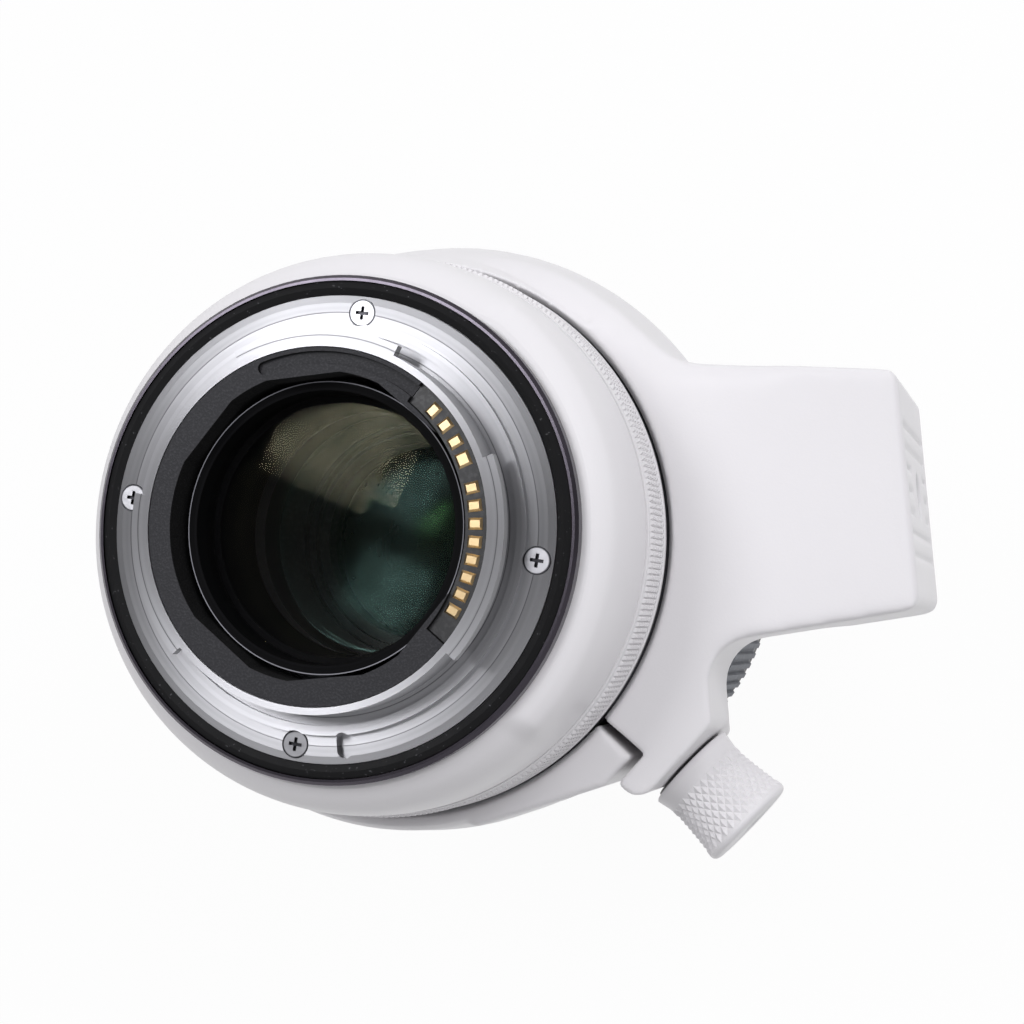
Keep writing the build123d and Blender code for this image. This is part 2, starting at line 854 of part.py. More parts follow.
# Control ring with a raised band for its knurl
control_outline = [
    (control_inner, -control_end),
    (control_radius, -control_end),
    (control_radius, -control_knurl_end),
    (control_radius + control_knurl_height, -control_knurl_end + control_knurl_height),
    (control_radius + control_knurl_height, -control_knurl_start - control_knurl_height),
    (control_radius, -control_knurl_start),
    (control_radius, -control_start),
    (control_inner, -control_start),
]
save(turned(control_outline), "control_ring")

# Collar, main half: a crowned band, the foot and the clamp lug, in one casting
clamp_x = cos(radians(clamp_angle))
clamp_y = sin(radians(clamp_angle))


def clamp_point(along, across):
    """Point near the clamp: along its axis from the lens axis, across towards the jaw."""
    foot_shift = clamp_offset - across
    return (along * clamp_x - foot_shift * clamp_y, along * clamp_y + foot_shift * clamp_x)


def clamp_plane(along):
    """Plane square to the clamp's axis, with x towards the jaw and z outwards."""
    x, y = clamp_point(along, 0)
    return Plane(origin=(x, y, -clamp_depth), x_dir=(clamp_y, -clamp_x, 0), z_dir=(clamp_x, clamp_y, 0))


def clamp_block(low, high, start, end, half_width):
    """Box in the clamp's directions: along its axis, across towards the jaw, and up the lens."""
    with BuildPart() as block:
        with BuildSketch(clamp_plane(low)):
            with Locations(((start + end) / 2, 0)):
                Rectangle(end - start, 2 * half_width)
        extrude(amount=high - low)
    return block.part


def clamp_rod(low, high, radius):
    """Cylinder on the clamp's axis."""
    with BuildPart() as rod:
        with BuildSketch(clamp_plane(low)):
            Circle(radius)
        extrude(amount=high - low)
    return rod.part


collar_crown_radius = collar_inner + collar_crown_wall
band_outline = [
    (collar_inner, -collar_end),
    (collar_inner + collar_front_wall, -collar_end),
    (collar_crown_radius, -collar_end + collar_front_round),
    (collar_crown_radius, -collar_crown_depth),
    (collar_inner + collar_cone_wall, -collar_cone_depth),
    (collar_inner + collar_rim_wall, -collar_start),
    (collar_inner, -collar_start),
]
main_start = seam_angle + seam_gap_angle
main_band = turned(band_outline, main_start, hinge_angle - seam_gap_angle - main_start)
hinge_x, hinge_y, _ = place(hinge_circle_radius, hinge_angle)


def knuckle(start, end, radius):
    """Cylinder on the hinge's axis between two depths."""
    with BuildPart() as barrel:
        with BuildSketch(Plane.XY.offset(-end)):
            with Locations((hinge_x, hinge_y)):
                Circle(radius)
        extrude(amount=end - start)
    return barrel.part


hinge_start = collar_start + hinge_inset
knuckle_top = (collar_start + collar_end - hinge_knuckle_length) / 2
knuckle_bottom = knuckle_top + hinge_knuckle_length
plate_outline = [
    place(collar_inner - cut_overrun, ring_sector_angle)[:2],
    place(collar_crown_radius - cut_overrun, ring_sector_angle)[:2],
    (foot_root, foot_upper_half + foot_upper_flare),
    (foot_bottom, foot_upper_half),
    (foot_bottom, -foot_lower_half),
    (lug_side, -foot_lower_half - foot_lower_flare),
    (lug_side, -(lug_face - lug_side * clamp_x) / -clamp_y),
    clamp_point(lug_face, lip_reach),
    clamp_point(lip_inner, lip_reach),
    place(lip_inner / cos(radians(main_start - clamp_angle)), main_start)[:2],
    place(collar_inner - cut_overrun, main_start)[:2],
]
plate_rounds = [
    foot_upper_fillet,
    foot_corner_round,
    foot_corner_round,
    foot_lower_fillet,
    lug_round,
    lip_round,
]
side_outline = [
    (0, -collar_start),
    (foot_bottom, -collar_start),
    (foot_bottom, -foot_front_depth),
    (foot_bottom - foot_plate_thickness, -foot_front_depth),
    (foot_front_root, -collar_end),
    (0, -collar_end),
]
with BuildPart() as foot_casting:
    with BuildSketch(Plane.XY.offset(-foot_front_depth)) as plate_sketch:
        with BuildLine():
            Polyline(*plate_outline, close=True)
        make_face()
        for corner, rounding in zip(plate_outline[2:8], plate_rounds):
            fillet(plate_sketch.vertices().sort_by_distance(corner)[0], rounding)
    extrude(amount=foot_front_depth - collar_start)
    with BuildSketch(Plane.XZ) as side_sketch:
        with BuildLine():
            Polyline(*side_outline, close=True)
        make_face()
        fillet(side_sketch.vertices().sort_by_distance(side_outline[3])[0], foot_front_round)
        fillet(side_sketch.vertices().sort_by_distance(side_outline[2])[0], foot_corner_round)
        fillet(side_sketch.vertices().sort_by_distance(side_outline[1])[0], foot_edge_round)
    extrude(amount=foot_bottom, both=True, mode=Mode.INTERSECT)

# Draft under the clamp's centre line, in the corner between the foot and the lug
draft_depth = foot_front_depth + cut_overrun
draft_outline = [
    (lug_side, -foot_lower_half - foot_lower_flare),
    (lug_side, -foot_bottom),
    (collar_inner + foot_draft_reach, -foot_bottom),
    (collar_inner + foot_draft_reach, -foot_lower_half - foot_lower_flare),
]
with BuildPart() as foot_draft:
    with BuildSketch(Plane.XY.offset(-clamp_depth)) as draft_sketch:
        with BuildLine():
            Polyline(*draft_outline, close=True)
        make_face()
        fillet(draft_sketch.vertices().sort_by_distance(draft_outline[0])[0], foot_lower_fillet)
    extrude(amount=clamp_depth - draft_depth, taper=-foot_draft_angle)

main_knuckles = [
    knuckle(hinge_start, knuckle_top, hinge_knuckle_radius),
    knuckle(knuckle_bottom, collar_end - seat_gap, hinge_knuckle_radius),
]
hinge_pin_hole = knuckle(collar_start - cut_overrun, collar_end + cut_overrun, hinge_pin_radius + pin_gap)
jaw_knuckle_room = knuckle(knuckle_top - running_gap, knuckle_bottom + running_gap,
                           hinge_knuckle_radius + hinge_relief)
collar_bore = disc(collar_inner, collar_start - cut_overrun, foot_front_depth + cut_overrun)
collar_mouth = turned([
    (0, -collar_start - collar_mouth_depth),
    (collar_inner, -collar_start - collar_mouth_depth),
    (collar_inner + collar_mouth_width, -collar_start),
    (0, -collar_start),
])
tongue_pocket = clamp_block(pocket_low, pocket_high, -pocket_reach, pocket_reach, pocket_half_width)
stud_hole = clamp_rod(pocket_low, lug_face + cut_overrun, stud_radius + pin_gap)
groove_start = collar_start + groove_margin
groove_end = foot_front_depth - groove_margin
groove_full = groove_end - groove_start
with BuildPart() as collar_body:
    add(main_band)
    add(foot_casting.part)
    add(main_knuckles)
    add(foot_draft.part, mode=Mode.SUBTRACT)
    add(collar_bore, mode=Mode.SUBTRACT)
    add(collar_mouth, mode=Mode.SUBTRACT)
    add(jaw_knuckle_room, mode=Mode.SUBTRACT)
    add(hinge_pin_hole, mode=Mode.SUBTRACT)
    add(tongue_pocket, mode=Mode.SUBTRACT)
    add(stud_hole, mode=Mode.SUBTRACT)
    for number in range(groove_count):
        across = (number - (groove_count - 1) / 2) * groove_pitch
        short = abs(number - (groove_count - 1) / 2) <= (groove_short_count - 1) / 2
        with BuildSketch(Plane.YZ.offset(foot_bottom - groove_depth)):
            with Locations((across, -(groove_start + groove_end) / 2)):
                Rectangle(groove_width, groove_full)
            if short:
                with Locations((across, -tripod_hole_place)):
                    Rectangle(groove_width, 2 * groove_break, mode=Mode.SUBTRACT)
        extrude(amount=groove_depth + cut_overrun, mode=Mode.SUBTRACT)
    with BuildSketch(Plane.YZ.offset(foot_bottom - tripod_hole_depth)):
        with Locations((0, -tripod_hole_place)):
            Circle(tripod_hole_radius)
    extrude(amount=tripod_hole_depth + cut_overrun, mode=Mode.SUBTRACT)
save(collar_body.part, "collar_body")

# Collar, jaw: the thinner half that swings open on the hinge
jaw_band_outline = [
    (collar_inner, -collar_end),
    (jaw_radius - jaw_front_round, -collar_end),
    (jaw_radius, -collar_end + jaw_front_round),
    (jaw_radius, -collar_cone_depth),
    (jaw_rear_radius, -collar_start - jaw_front_round),
    (jaw_rear_radius - jaw_front_round / 2, -collar_start),
    (collar_inner, -collar_start),
]
jaw_start = hinge_angle + seam_gap_angle
jaw_end = 360 + seam_angle - seam_gap_angle
jaw_band = turned(jaw_band_outline, jaw_start, jaw_end - jaw_start)
block_corner = jaw_block_top / cos(radians(jaw_end - clamp_angle))
block_end = jaw_block_top / cos(radians(jaw_block_tail_angle - clamp_angle))
jaw_block_outline = [
    place(collar_inner - cut_overrun, jaw_end)[:2],
    place(block_corner, jaw_end)[:2],
    place(block_end, jaw_block_tail_angle)[:2],
    place(jaw_radius - seat_gap, jaw_ramp_angle)[:2],
    place(collar_inner - cut_overrun, jaw_ramp_angle)[:2],
]
with BuildPart() as jaw_block:
    with BuildSketch(Plane.XY.offset(-collar_end)):
        with BuildLine():
            Polyline(*jaw_block_outline, close=True)
        make_face()
    extrude(amount=collar_end - collar_start)
    chamfer(jaw_block.faces().sort_by(Axis.Z)[-1].edges(), foot_edge_round / 2)
tongue = clamp_block(tongue_low, tongue_high, -tongue_reach, pocket_reach, tongue_half_width)
fork = clamp_block(pocket_low - cut_overrun, jaw_block_top + cut_overrun, -pocket_reach,
                   fork_end - fork_half_width, fork_half_width)
fork_round = clamp_plane(pocket_low - cut_overrun)
head_recess = clamp_block(pocket_low, tongue_low, -pocket_reach, head_recess_reach,
                          stud_head_radius + running_gap)
jaw_knuckle = knuckle(knuckle_top, knuckle_bottom, hinge_knuckle_radius)
jaw_web = turned(
    [
        (jaw_radius - seat_gap, -knuckle_bottom),
        (hinge_circle_radius + hinge_knuckle_radius, -knuckle_bottom),
        (hinge_circle_radius + hinge_knuckle_radius, -knuckle_top),
        (jaw_radius - seat_gap, -knuckle_top),
    ],
    hinge_angle,
    degrees(hinge_web / hinge_circle_radius),
)
main_knuckle_room = [
    knuckle(collar_start - cut_overrun, knuckle_top, hinge_knuckle_radius + hinge_relief),
    knuckle(knuckle_bottom, collar_end + cut_overrun, hinge_knuckle_radius + hinge_relief),
]
with BuildPart() as collar_jaw:
    add(jaw_band)
    add(jaw_block.part)
    add(collar_bore, mode=Mode.SUBTRACT)
    add(collar_mouth, mode=Mode.SUBTRACT)
    add(tongue)
    add(main_knuckle_room, mode=Mode.SUBTRACT)
    add(jaw_knuckle)
    add(jaw_web)
    add(hinge_pin_hole, mode=Mode.SUBTRACT)
    add(fork, mode=Mode.SUBTRACT)
    with BuildSketch(fork_round):
        with Locations((fork_end - fork_half_width, 0)):
            Circle(fork_half_width)
    extrude(amount=jaw_block_top - pocket_low + 2 * cut_overrun, mode=Mode.SUBTRACT)
    add(head_recess, mode=Mode.SUBTRACT)
save(collar_jaw.part, "collar_jaw")

# Pin of the jaw's hinge
save(knuckle(hinge_start, collar_end - seat_gap, hinge_pin_radius), "hinge_pin")

# Felt linings between the collar and the barrel
lining_outer = collar_inner - pin_gap
lining_outline = [
    (lining_outer - lining_thickness, -collar_end + lining_margin),
    (lining_outer, -collar_end + lining_margin),
    (lining_outer, -collar_start - lining_margin),
    (lining_outer - lining_thickness, -collar_start - lining_margin),
]
lining_start = seam_angle + lining_end_angle
save(turned(lining_outline, lining_start, hinge_angle - lining_end_angle - lining_start), "collar_lining")
jaw_lining_start = hinge_angle + lining_end_angle
save(turned(lining_outline, jaw_lining_start, jaw_end - lining_end_angle - jaw_lining_start), "jaw_lining")

# Clamp stud: its head pulls the jaw's fork against the roof of the pocket
stud_head_low = tongue_low - stud_head_gap - stud_head_thickness
stud_head = clamp_rod(stud_head_low, stud_head_low + stud_head_thickness, stud_head_radius)
stud_shank = clamp_rod(stud_head_low, stud_end, stud_radius)
with BuildPart() as clamp_stud:
    add(stud_head)
    add(stud_shank)
save(clamp_stud.part, "clamp_stud")

# Washer and knob of the clamp
washer_blank = clamp_rod(lug_face + pin_gap, lug_face + pin_gap + washer_thickness, washer_radius)
washer_hole = clamp_rod(lug_face, knob_start, stud_radius + pin_gap)
with BuildPart() as clamp_washer:
    add(washer_blank)
    add(washer_hole, mode=Mode.SUBTRACT)
save(clamp_washer.part, "clamp_washer")
knob_plane = Plane(origin=clamp_plane(0).origin, x_dir=(0, 0, 1), z_dir=(-clamp_y, clamp_x, 0))
knob_bore = clamp_rod(knob_start, knob_start + knob_bore_length, stud_radius + pin_gap)
knob_waist = (knob_waist_radius, knob_start + knob_waist_place)
knob_middle = ((knob_waist_radius + knob_flare_radius) / 2, (knob_start + knob_waist_place + knob_end) / 2)
knob_flare = (knob_flare_radius, knob_end - knob_flare_inset)
with BuildPart() as clamp_knob:
    with BuildSketch(knob_plane):
        with BuildLine():
            Polyline((0, knob_start), (knob_neck_radius, knob_start), knob_waist)
            Spline(knob_waist, knob_middle, knob_flare)
            Polyline(knob_flare, (knob_end_radius, knob_end), (0, knob_end), (0, knob_start))
        make_face()
    revolve(axis=Axis(origin=clamp_plane(0).origin, direction=(clamp_x, clamp_y, 0)))
    add(knob_bore, mode=Mode.SUBTRACT)
save(clamp_knob.part, "clamp_knob")

# Cover ahead of the collar, with pockets for the switches and a sleeve for the focus ring
cover_outline = [
    (barrel_fore_radius + pin_gap, -cover_start - cover_web),
    (barrel_fore_radius + pin_gap, -cover_start),
    (cover_radius, -cover_start),
    (cover_radius, -cover_end),
    (sleeve_radius, -cover_end),
    (sleeve_radius, -stop_end),
    (sleeve_inner, -stop_end),
    (sleeve_inner, -cover_start - cover_web),
]
switch_room = switch_travel / 2 + switch_length / 2 + seat_gap
foot_room = switch_room + switch_foot_lip
pocket_floor = switch_root - seat_gap
switch_places = [panel_angle + angle for angle in switch_angles]
switch_pockets = [
    radial_box(angle, pocket_floor, cover_radius + cut_overrun,
               switch_width + 2 * switch_foot_lip + 2 * seat_gap, switch_centre - foot_room,
               switch_centre + foot_room)
    for angle in switch_places
]
with BuildPart() as mid_cover:
    add(turned(cover_outline))
    add(switch_pockets, mode=Mode.SUBTRACT)
save(mid_cover.part, "mid_cover")

# Switch panel: a curved plate with a window for each switch
panel_outline = [
    (cover_radius + pin_gap, -cover_end + panel_margin),
    (cover_radius + panel_thickness, -cover_end + panel_margin),
    (cover_radius + panel_thickness, -cover_start - panel_margin),
    (cover_radius + pin_gap, -cover_start - panel_margin),
]
switch_windows = [
    radial_box(angle, pocket_floor, cover_radius + panel_thickness + cut_overrun,
               switch_width + 2 * seat_gap, switch_centre - switch_room, switch_centre + switch_room)
    for angle in switch_places
]
with BuildPart() as switch_panel:
    add(turned(panel_outline, panel_angle - panel_sweep_angle / 2, panel_sweep_angle))
    add(switch_windows, mode=Mode.SUBTRACT)
save(switch_panel.part, "switch_panel")

# Four sliding switches, each resting at the camera end of its travel
switch_rest = switch_centre - switch_travel / 2
for number, angle in enumerate(switch_places):
    foot = radial_box(angle, switch_root, switch_root + switch_foot_thickness,
                      switch_width + 2 * switch_foot_lip,
                      switch_rest - switch_length / 2 - switch_foot_lip,
                      switch_rest + switch_length / 2 + switch_foot_lip)
    with BuildPart() as slider:
        add(foot)
        with BuildSketch(radial_plane(angle, switch_root, switch_rest)):
            RectangleRounded(switch_length, switch_width, switch_round)
        extrude(amount=cover_radius + panel_thickness + switch_proud - switch_root)
        chamfer(slider.faces().sort_by_distance(place(2 * cover_radius, angle, -switch_rest))[0].edges(),
                switch_edge)
    save(slider.part, f"switch_{number + 1}")


def ribbed(inner, root, tip, count, start, end):
    """Ring whose outside carries straight ribs along the axis."""
    pitch = 360 / count
    outline = []
    for number in range(count):
        rib = number * pitch
        land = pitch * grip_rib_share / 2
        slope = pitch * grip_slope_share
        outline += [
            place(root, rib - land - slope)[:2],
            place(tip, rib - land)[:2],
            place(tip, rib + land)[:2],
            place(root, rib + land + slope)[:2],
        ]
    with BuildPart() as grip:
        with BuildSketch(Plane.XY.offset(-end)):
            with BuildLine():
                Polyline(*outline, close=True)
            make_face()
            Circle(inner, mode=Mode.SUBTRACT)
        extrude(amount=end - start)
    return grip.part


# Zoom ring: a wide ring with a long skirt that reaches back under the cover
zoom_outline = [
    (zoom_inner, -zoom_end),
    (zoom_body_radius, -zoom_end),
    (zoom_body_radius, -zoom_start),
    (skirt_radius, -zoom_start),
    (skirt_radius, -skirt_start),
    (zoom_inner, -skirt_start),
]
key_hole = radial_box(key_angle, zoom_inner - cut_overrun, skirt_radius + cut_overrun,
                      key_width + 2 * pin_gap, key_depth - pin_gap, key_depth + key_length + pin_gap)
with BuildPart() as zoom_ring:
    add(turned(zoom_outline))
    add(key_hole, mode=Mode.SUBTRACT)
save(zoom_ring.part, "zoom_ring")
save(ribbed(zoom_body_radius + pin_gap, grip_radius - grip_rib_height, grip_radius, grip_rib_count,
            zoom_start + grip_margin, zoom_end - grip_margin), "zoom_grip")

# Key that turns the cam barrel with the zoom ring
save(radial_box(key_angle, cam_outer + pin_gap, skirt_radius, key_width, key_depth,
                key_depth + key_length), "zoom_key")


def slot_cut(angle, start, travel, turn, radius, inner, outer, steps):
    """Slot through a tube for a round follower, running forward as the tube turns."""
    middle = (inner + outer) / 2
    rise = travel / steps
    swing = turn / steps
    run = 2 * middle * sin(radians(swing / 2))
    length = sqrt(rise ** 2 + run ** 2)
    tilt = -degrees(atan2(run, rise))
    with BuildPart() as cut:
        for step in range(steps):
            spot = angle - (step + 0.5) * swing
            depth = start + (step + 0.5) * rise
            with BuildSketch(radial_plane(spot, inner - cut_overrun, depth)):
                SlotCenterToCenter(length, 2 * radius, rotation=tilt)
        extrude(amount=outer - inner + 2 * cut_overrun)
    return cut.part


# Cam barrel: turns with the zoom ring and drives both groups with sloping slots
slot_radius = follower_radius + slot_gap
front_cams = [
    slot_cut(angle, front_follower_depth, front_travel, zoom_turn_angle, slot_radius, cam_inner,
             cam_outer, cam_steps)
    for angle in front_follower_angles
]
zoom_cams = [
    slot_cut(angle, zoom_follower_depth, zoom_group_travel, zoom_turn_angle, slot_radius, cam_inner,
             cam_outer, cam_steps)
    for angle in zoom_follower_angles
]
with BuildPart() as cam_barrel:
    add(tube(cam_inner, cam_outer, cam_start, cam_end))
    add(front_cams, mode=Mode.SUBTRACT)
    add(zoom_cams, mode=Mode.SUBTRACT)
save(cam_barrel.part, "cam_barrel")

# Guide barrel: fixed, with straight slots that keep the groups from turning
guide_outline = [
    (guide_flange_inner, -guide_start - guide_flange_thickness),
    (guide_flange_inner, -guide_start),
    (guide_flange_radius, -guide_start),
    (guide_flange_radius, -guide_start - guide_flange_thickness),
    (guide_outer, -guide_start - guide_flange_thickness),
    (guide_outer, -guide_end),
    (guide_inner, -guide_end),
    (guide_inner, -guide_start - guide_flange_thickness),
]
front_guides = [
    slot_cut(angle, front_follower_depth, front_travel, 0, slot_radius, guide_inner, guide_outer, 1)
    for angle in front_follower_angles
]
zoom_guides = [
    slot_cut(angle, zoom_follower_depth, zoom_group_travel, 0, slot_radius, guide_inner, guide_outer, 1)
    for angle in zoom_follower_angles
]
with BuildPart() as guide_barrel:
    add(turned(guide_outline))
    add(front_guides, mode=Mode.SUBTRACT)
    add(zoom_guides, mode=Mode.SUBTRACT)
save(guide_barrel.part, "guide_barrel")

# Front barrel with its followers, rim and bezel
follower_holes = [
    radial_rod(angle, front_tube_inner - cut_overrun, front_tube_radius + cut_overrun,
               follower_radius + pin_gap, front_follower_depth)
    for angle in front_follower_angles
]
with BuildPart() as front_barrel:
    add(tube(front_tube_inner, front_tube_radius, front_tube_start, front_rim_start))
    add(follower_holes, mode=Mode.SUBTRACT)
save(front_barrel.part, "front_barrel")
with BuildPart() as front_followers:
    for angle in front_follower_angles:
        with BuildSketch(radial_plane(angle, follower_inner, front_follower_depth)):
            Circle(follower_radius)
    extrude(amount=front_tube_radius - pin_gap - follower_inner)
save(front_followers.part, "front_followers")
filter_thread_start = front_rim_end - filter_thread_length
rim_outline = [
    (front_tube_inner, -front_rim_start - front_rim_plate),
    (front_tube_inner, -front_rim_start),
    (front_rim_radius, -front_rim_start),
    (front_rim_radius, -front_rim_end),
    (filter_thread_radius, -front_rim_end),
    (filter_thread_radius, -filter_thread_start),
    (bezel_seat_radius, -filter_thread_start),
    (bezel_seat_radius, -front_rim_start - front_rim_plate),
]
save(turned(rim_outline), "front_rim")
bezel_start = front_rim_start + front_rim_plate + pin_gap
save(tube(bezel_inner, bezel_seat_radius - pin_gap, bezel_start, bezel_start + bezel_thickness),
     "front_bezel")

# Front cell and front glass
front_cell_lip = front_cell_bore_radius - cell_lip
front_cell_outline = [
    (front_cell_lip, -front_cell_start),
    (front_cell_radius, -front_cell_start),
    (front_cell_radius, -front_cell_end),
    (front_cell_bore_radius, -front_cell_end),
    (front_cell_bore_radius, -front_glass_edge_start + pin_gap),
    (front_cell_lip, -front_glass_edge_start + pin_gap),
]
save(turned(front_cell_outline), "front_cell")
save(glass(front_cell_bore_radius - pin_gap, front_glass_edge_start, front_glass_edge_end,
           -front_glass_hollow, front_glass_rise), "front_glass")

# Zoom group: a carrier that slides in the guide barrel, with its glass and followers
zoom_glass_start = zoom_group_start + cell_lip
with BuildPart() as zoom_carrier:
    add(tube(zoom_group_bore_radius, zoom_group_radius, zoom_group_start, zoom_group_end))
    add(tube(zoom_group_bore_radius - cell_lip, zoom_group_bore_radius + pin_gap, zoom_group_start,
             zoom_glass_start - seat_gap))
    for angle in zoom_follower_angles:
        add(radial_rod(angle, zoom_group_radius - zoom_follower_seat, zoom_group_radius + cut_overrun,
                       follower_radius + pin_gap, zoom_follower_depth), mode=Mode.SUBTRACT)
save(zoom_carrier.part, "zoom_carrier")
zoom_glass_end = zoom_group_end - cell_lip
save(glass(zoom_group_bore_radius - pin_gap, zoom_glass_start, zoom_glass_end, zoom_glass_rise,
           -zoom_glass_rise), "zoom_glass")
zoom_follower_inner = zoom_group_radius - zoom_follower_seat + pin_gap
with BuildPart() as zoom_followers:
    for angle in zoom_follower_angles:
        with BuildSketch(radial_plane(angle, zoom_follower_inner, zoom_follower_depth)):
            Circle(follower_radius)
    extrude(amount=zoom_follower_reach - zoom_follower_inner)
save(zoom_followers.part, "zoom_followers")

# Rear cell and rear glass, fixed in the chassis
rear_cell_lip = rear_cell_bore_radius - cell_lip
rear_glass_end = rear_glass_start + rear_glass_edge
rear_cell_outline = [
    (rear_cell_bore_radius, rear_cell_top),
    (rear_cell_radius, rear_cell_top),
    (rear_cell_radius, -rear_cell_end + rear_cell_flange_thickness),
    (rear_cell_flange_radius, -rear_cell_end + rear_cell_flange_thickness),
    (rear_cell_flange_radius, -rear_cell_end),
    (rear_cell_lip, -rear_cell_end),
    (rear_cell_lip, -rear_glass_end - pin_gap),
    (rear_cell_bore_radius, -rear_glass_end - pin_gap),
]
save(turned(rear_cell_outline), "rear_cell")
save(glass(rear_cell_bore_radius - pin_gap, rear_glass_start, rear_glass_end, rear_glass_rise,
           -rear_glass_hollow), "rear_glass")

# Focus group on its two rods, with its motor
rod_start = guide_start + guide_flange_thickness
with BuildPart() as focus_rods:
    for angle in focus_rod_angles:
        with BuildSketch(Plane.XY.offset(-frame_start + pin_gap)):
            with PolarLocations(focus_rod_circle_radius, 1, angle):
                Circle(focus_rod_radius)
    extrude(amount=frame_start - rod_start - 2 * pin_gap)
save(focus_rods.part, "focus_rods")
with BuildPart() as focus_carrier:
    with BuildSketch(Plane.XY.offset(-focus_group_end)):
        Circle(focus_group_radius)
        for angle in focus_rod_angles:
            with PolarLocations(focus_rod_circle_radius, 1, angle):
                Circle(focus_ear_radius)
            with PolarLocations(focus_rod_circle_radius / 2, 1, angle):
                Rectangle(focus_rod_circle_radius, 2 * focus_ear_radius)
        Circle(focus_group_bore_radius, mode=Mode.SUBTRACT)
        for angle in focus_rod_angles:
            with PolarLocations(focus_rod_circle_radius, 1, angle):
                Circle(focus_rod_radius + rod_gap, mode=Mode.SUBTRACT)
    extrude(amount=focus_group_end - focus_group_start)
save(focus_carrier.part, "focus_carrier")
save(glass(focus_group_bore_radius - pin_gap, focus_group_start + cell_lip, focus_group_end - cell_lip,
           focus_glass_rise, focus_glass_rise), "focus_glass")
save(radial_box(motor_angle, motor_circle_radius - motor_thickness / 2,
                motor_circle_radius + motor_thickness / 2, motor_width, motor_start, motor_end),
     "focus_motor")

# Stabiliser: fixed frame with coils, a yoke that shifts along X, and a cell that shifts along Y
frame_end = frame_start + frame_thickness
save(tube(frame_bore_radius, frame_radius, frame_start, frame_end), "stabiliser_frame")
with BuildPart() as stabiliser_coils:
    with BuildSketch(Plane.XY.offset(-frame_end - pin_gap - coil_thickness)):
        for angle in coil_angles:
            with PolarLocations(coil_circle_radius, 1, angle):
                RectangleRounded(coil_width, coil_width, coil_round)
                RectangleRounded(coil_core_width, coil_core_width, coil_core_round, mode=Mode.SUBTRACT)
    extrude(amount=coil_thickness)
save(stabiliser_coils.part, "stabiliser_coils")
yoke_start = frame_end + shift_gap
yoke_end = yoke_start + yoke_thickness
save(tube(yoke_bore_radius, yoke_radius, yoke_start, yoke_end), "stabiliser_yoke")
shift_cell_start = yoke_end + shift_gap
shift_cell_end = shift_cell_start + shift_cell_thickness
save(tube(shift_cell_bore_radius, shift_cell_radius, shift_cell_start, shift_cell_end), "stabiliser_cell")
save(glass(shift_cell_bore_radius - pin_gap, shift_cell_start + cell_lip, shift_cell_end - cell_lip,
           -shift_glass_hollow, -shift_glass_hollow), "stabiliser_glass")

# Iris: housing with pivots, and the ring of thin blades at full opening
iris_rim_inner = frame_radius - iris_wall
iris_outline = [
    (iris_bore_radius, -iris_start),
    (frame_radius, -iris_start),
    (frame_radius, -iris_end),
    (iris_rim_inner, -iris_end),
    (iris_rim_inner, -iris_start - iris_wall),
    (iris_bore_radius, -iris_start - iris_wall),
]
with BuildPart() as iris_housing:
    add(turned(iris_outline))
    with BuildSketch(Plane.XY.offset(-iris_end)):
        with PolarLocations(iris_pivot_circle_radius, iris_blade_count):
            Circle(iris_pivot_radius)
    extrude(amount=iris_thickness - iris_wall)
save(iris_housing.part, "iris_housing")
blade_pitch = 360 / iris_blade_count
blade_tail = degrees(iris_blade_width / 2 / iris_pivot_circle_radius)
with BuildPart() as iris_blades:
    for number in range(iris_blade_count):
        blade_start = iris_start + iris_wall + seat_gap + number * iris_blade_step
        blade_end = blade_start + iris_blade_thickness
        outline = [
            (iris_pivot_circle_radius - iris_blade_width / 2, -blade_end),
            (iris_pivot_circle_radius + iris_blade_width / 2, -blade_end),
            (iris_pivot_circle_radius + iris_blade_width / 2, -blade_start),
            (iris_pivot_circle_radius - iris_blade_width / 2, -blade_start),
        ]
        add(turned(outline, number * blade_pitch - blade_tail, iris_blade_sweep_angle))
    with BuildSketch(Plane.XY.offset(-iris_end)):
        with PolarLocations(iris_pivot_circle_radius, iris_blade_count):
            Circle(iris_pivot_radius + pin_gap)
    extrude(amount=iris_thickness, mode=Mode.SUBTRACT)
save(iris_blades.part, "iris_blades")

# Stop ring, focus ring with its grip, and the nose ring that holds the zoom ring
save(tube(sleeve_radius + pin_gap, zoom_body_radius, stop_start, stop_end), "stop_ring")
save(tube(focus_inner, focus_body_radius, focus_start, focus_end), "focus_ring")
save(ribbed(focus_body_radius + pin_gap, focus_grip_radius - focus_rib_height, focus_grip_radius,
            focus_rib_count, focus_start + grip_margin, focus_end - grip_margin), "focus_grip")
save(tube(barrel_fore_radius + pin_gap, nose_radius, nose_start, nose_end), "nose_ring")
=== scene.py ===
from math import cos, pi, radians, sin

import bpy
import numpy as np
from mathutils import Matrix, Vector


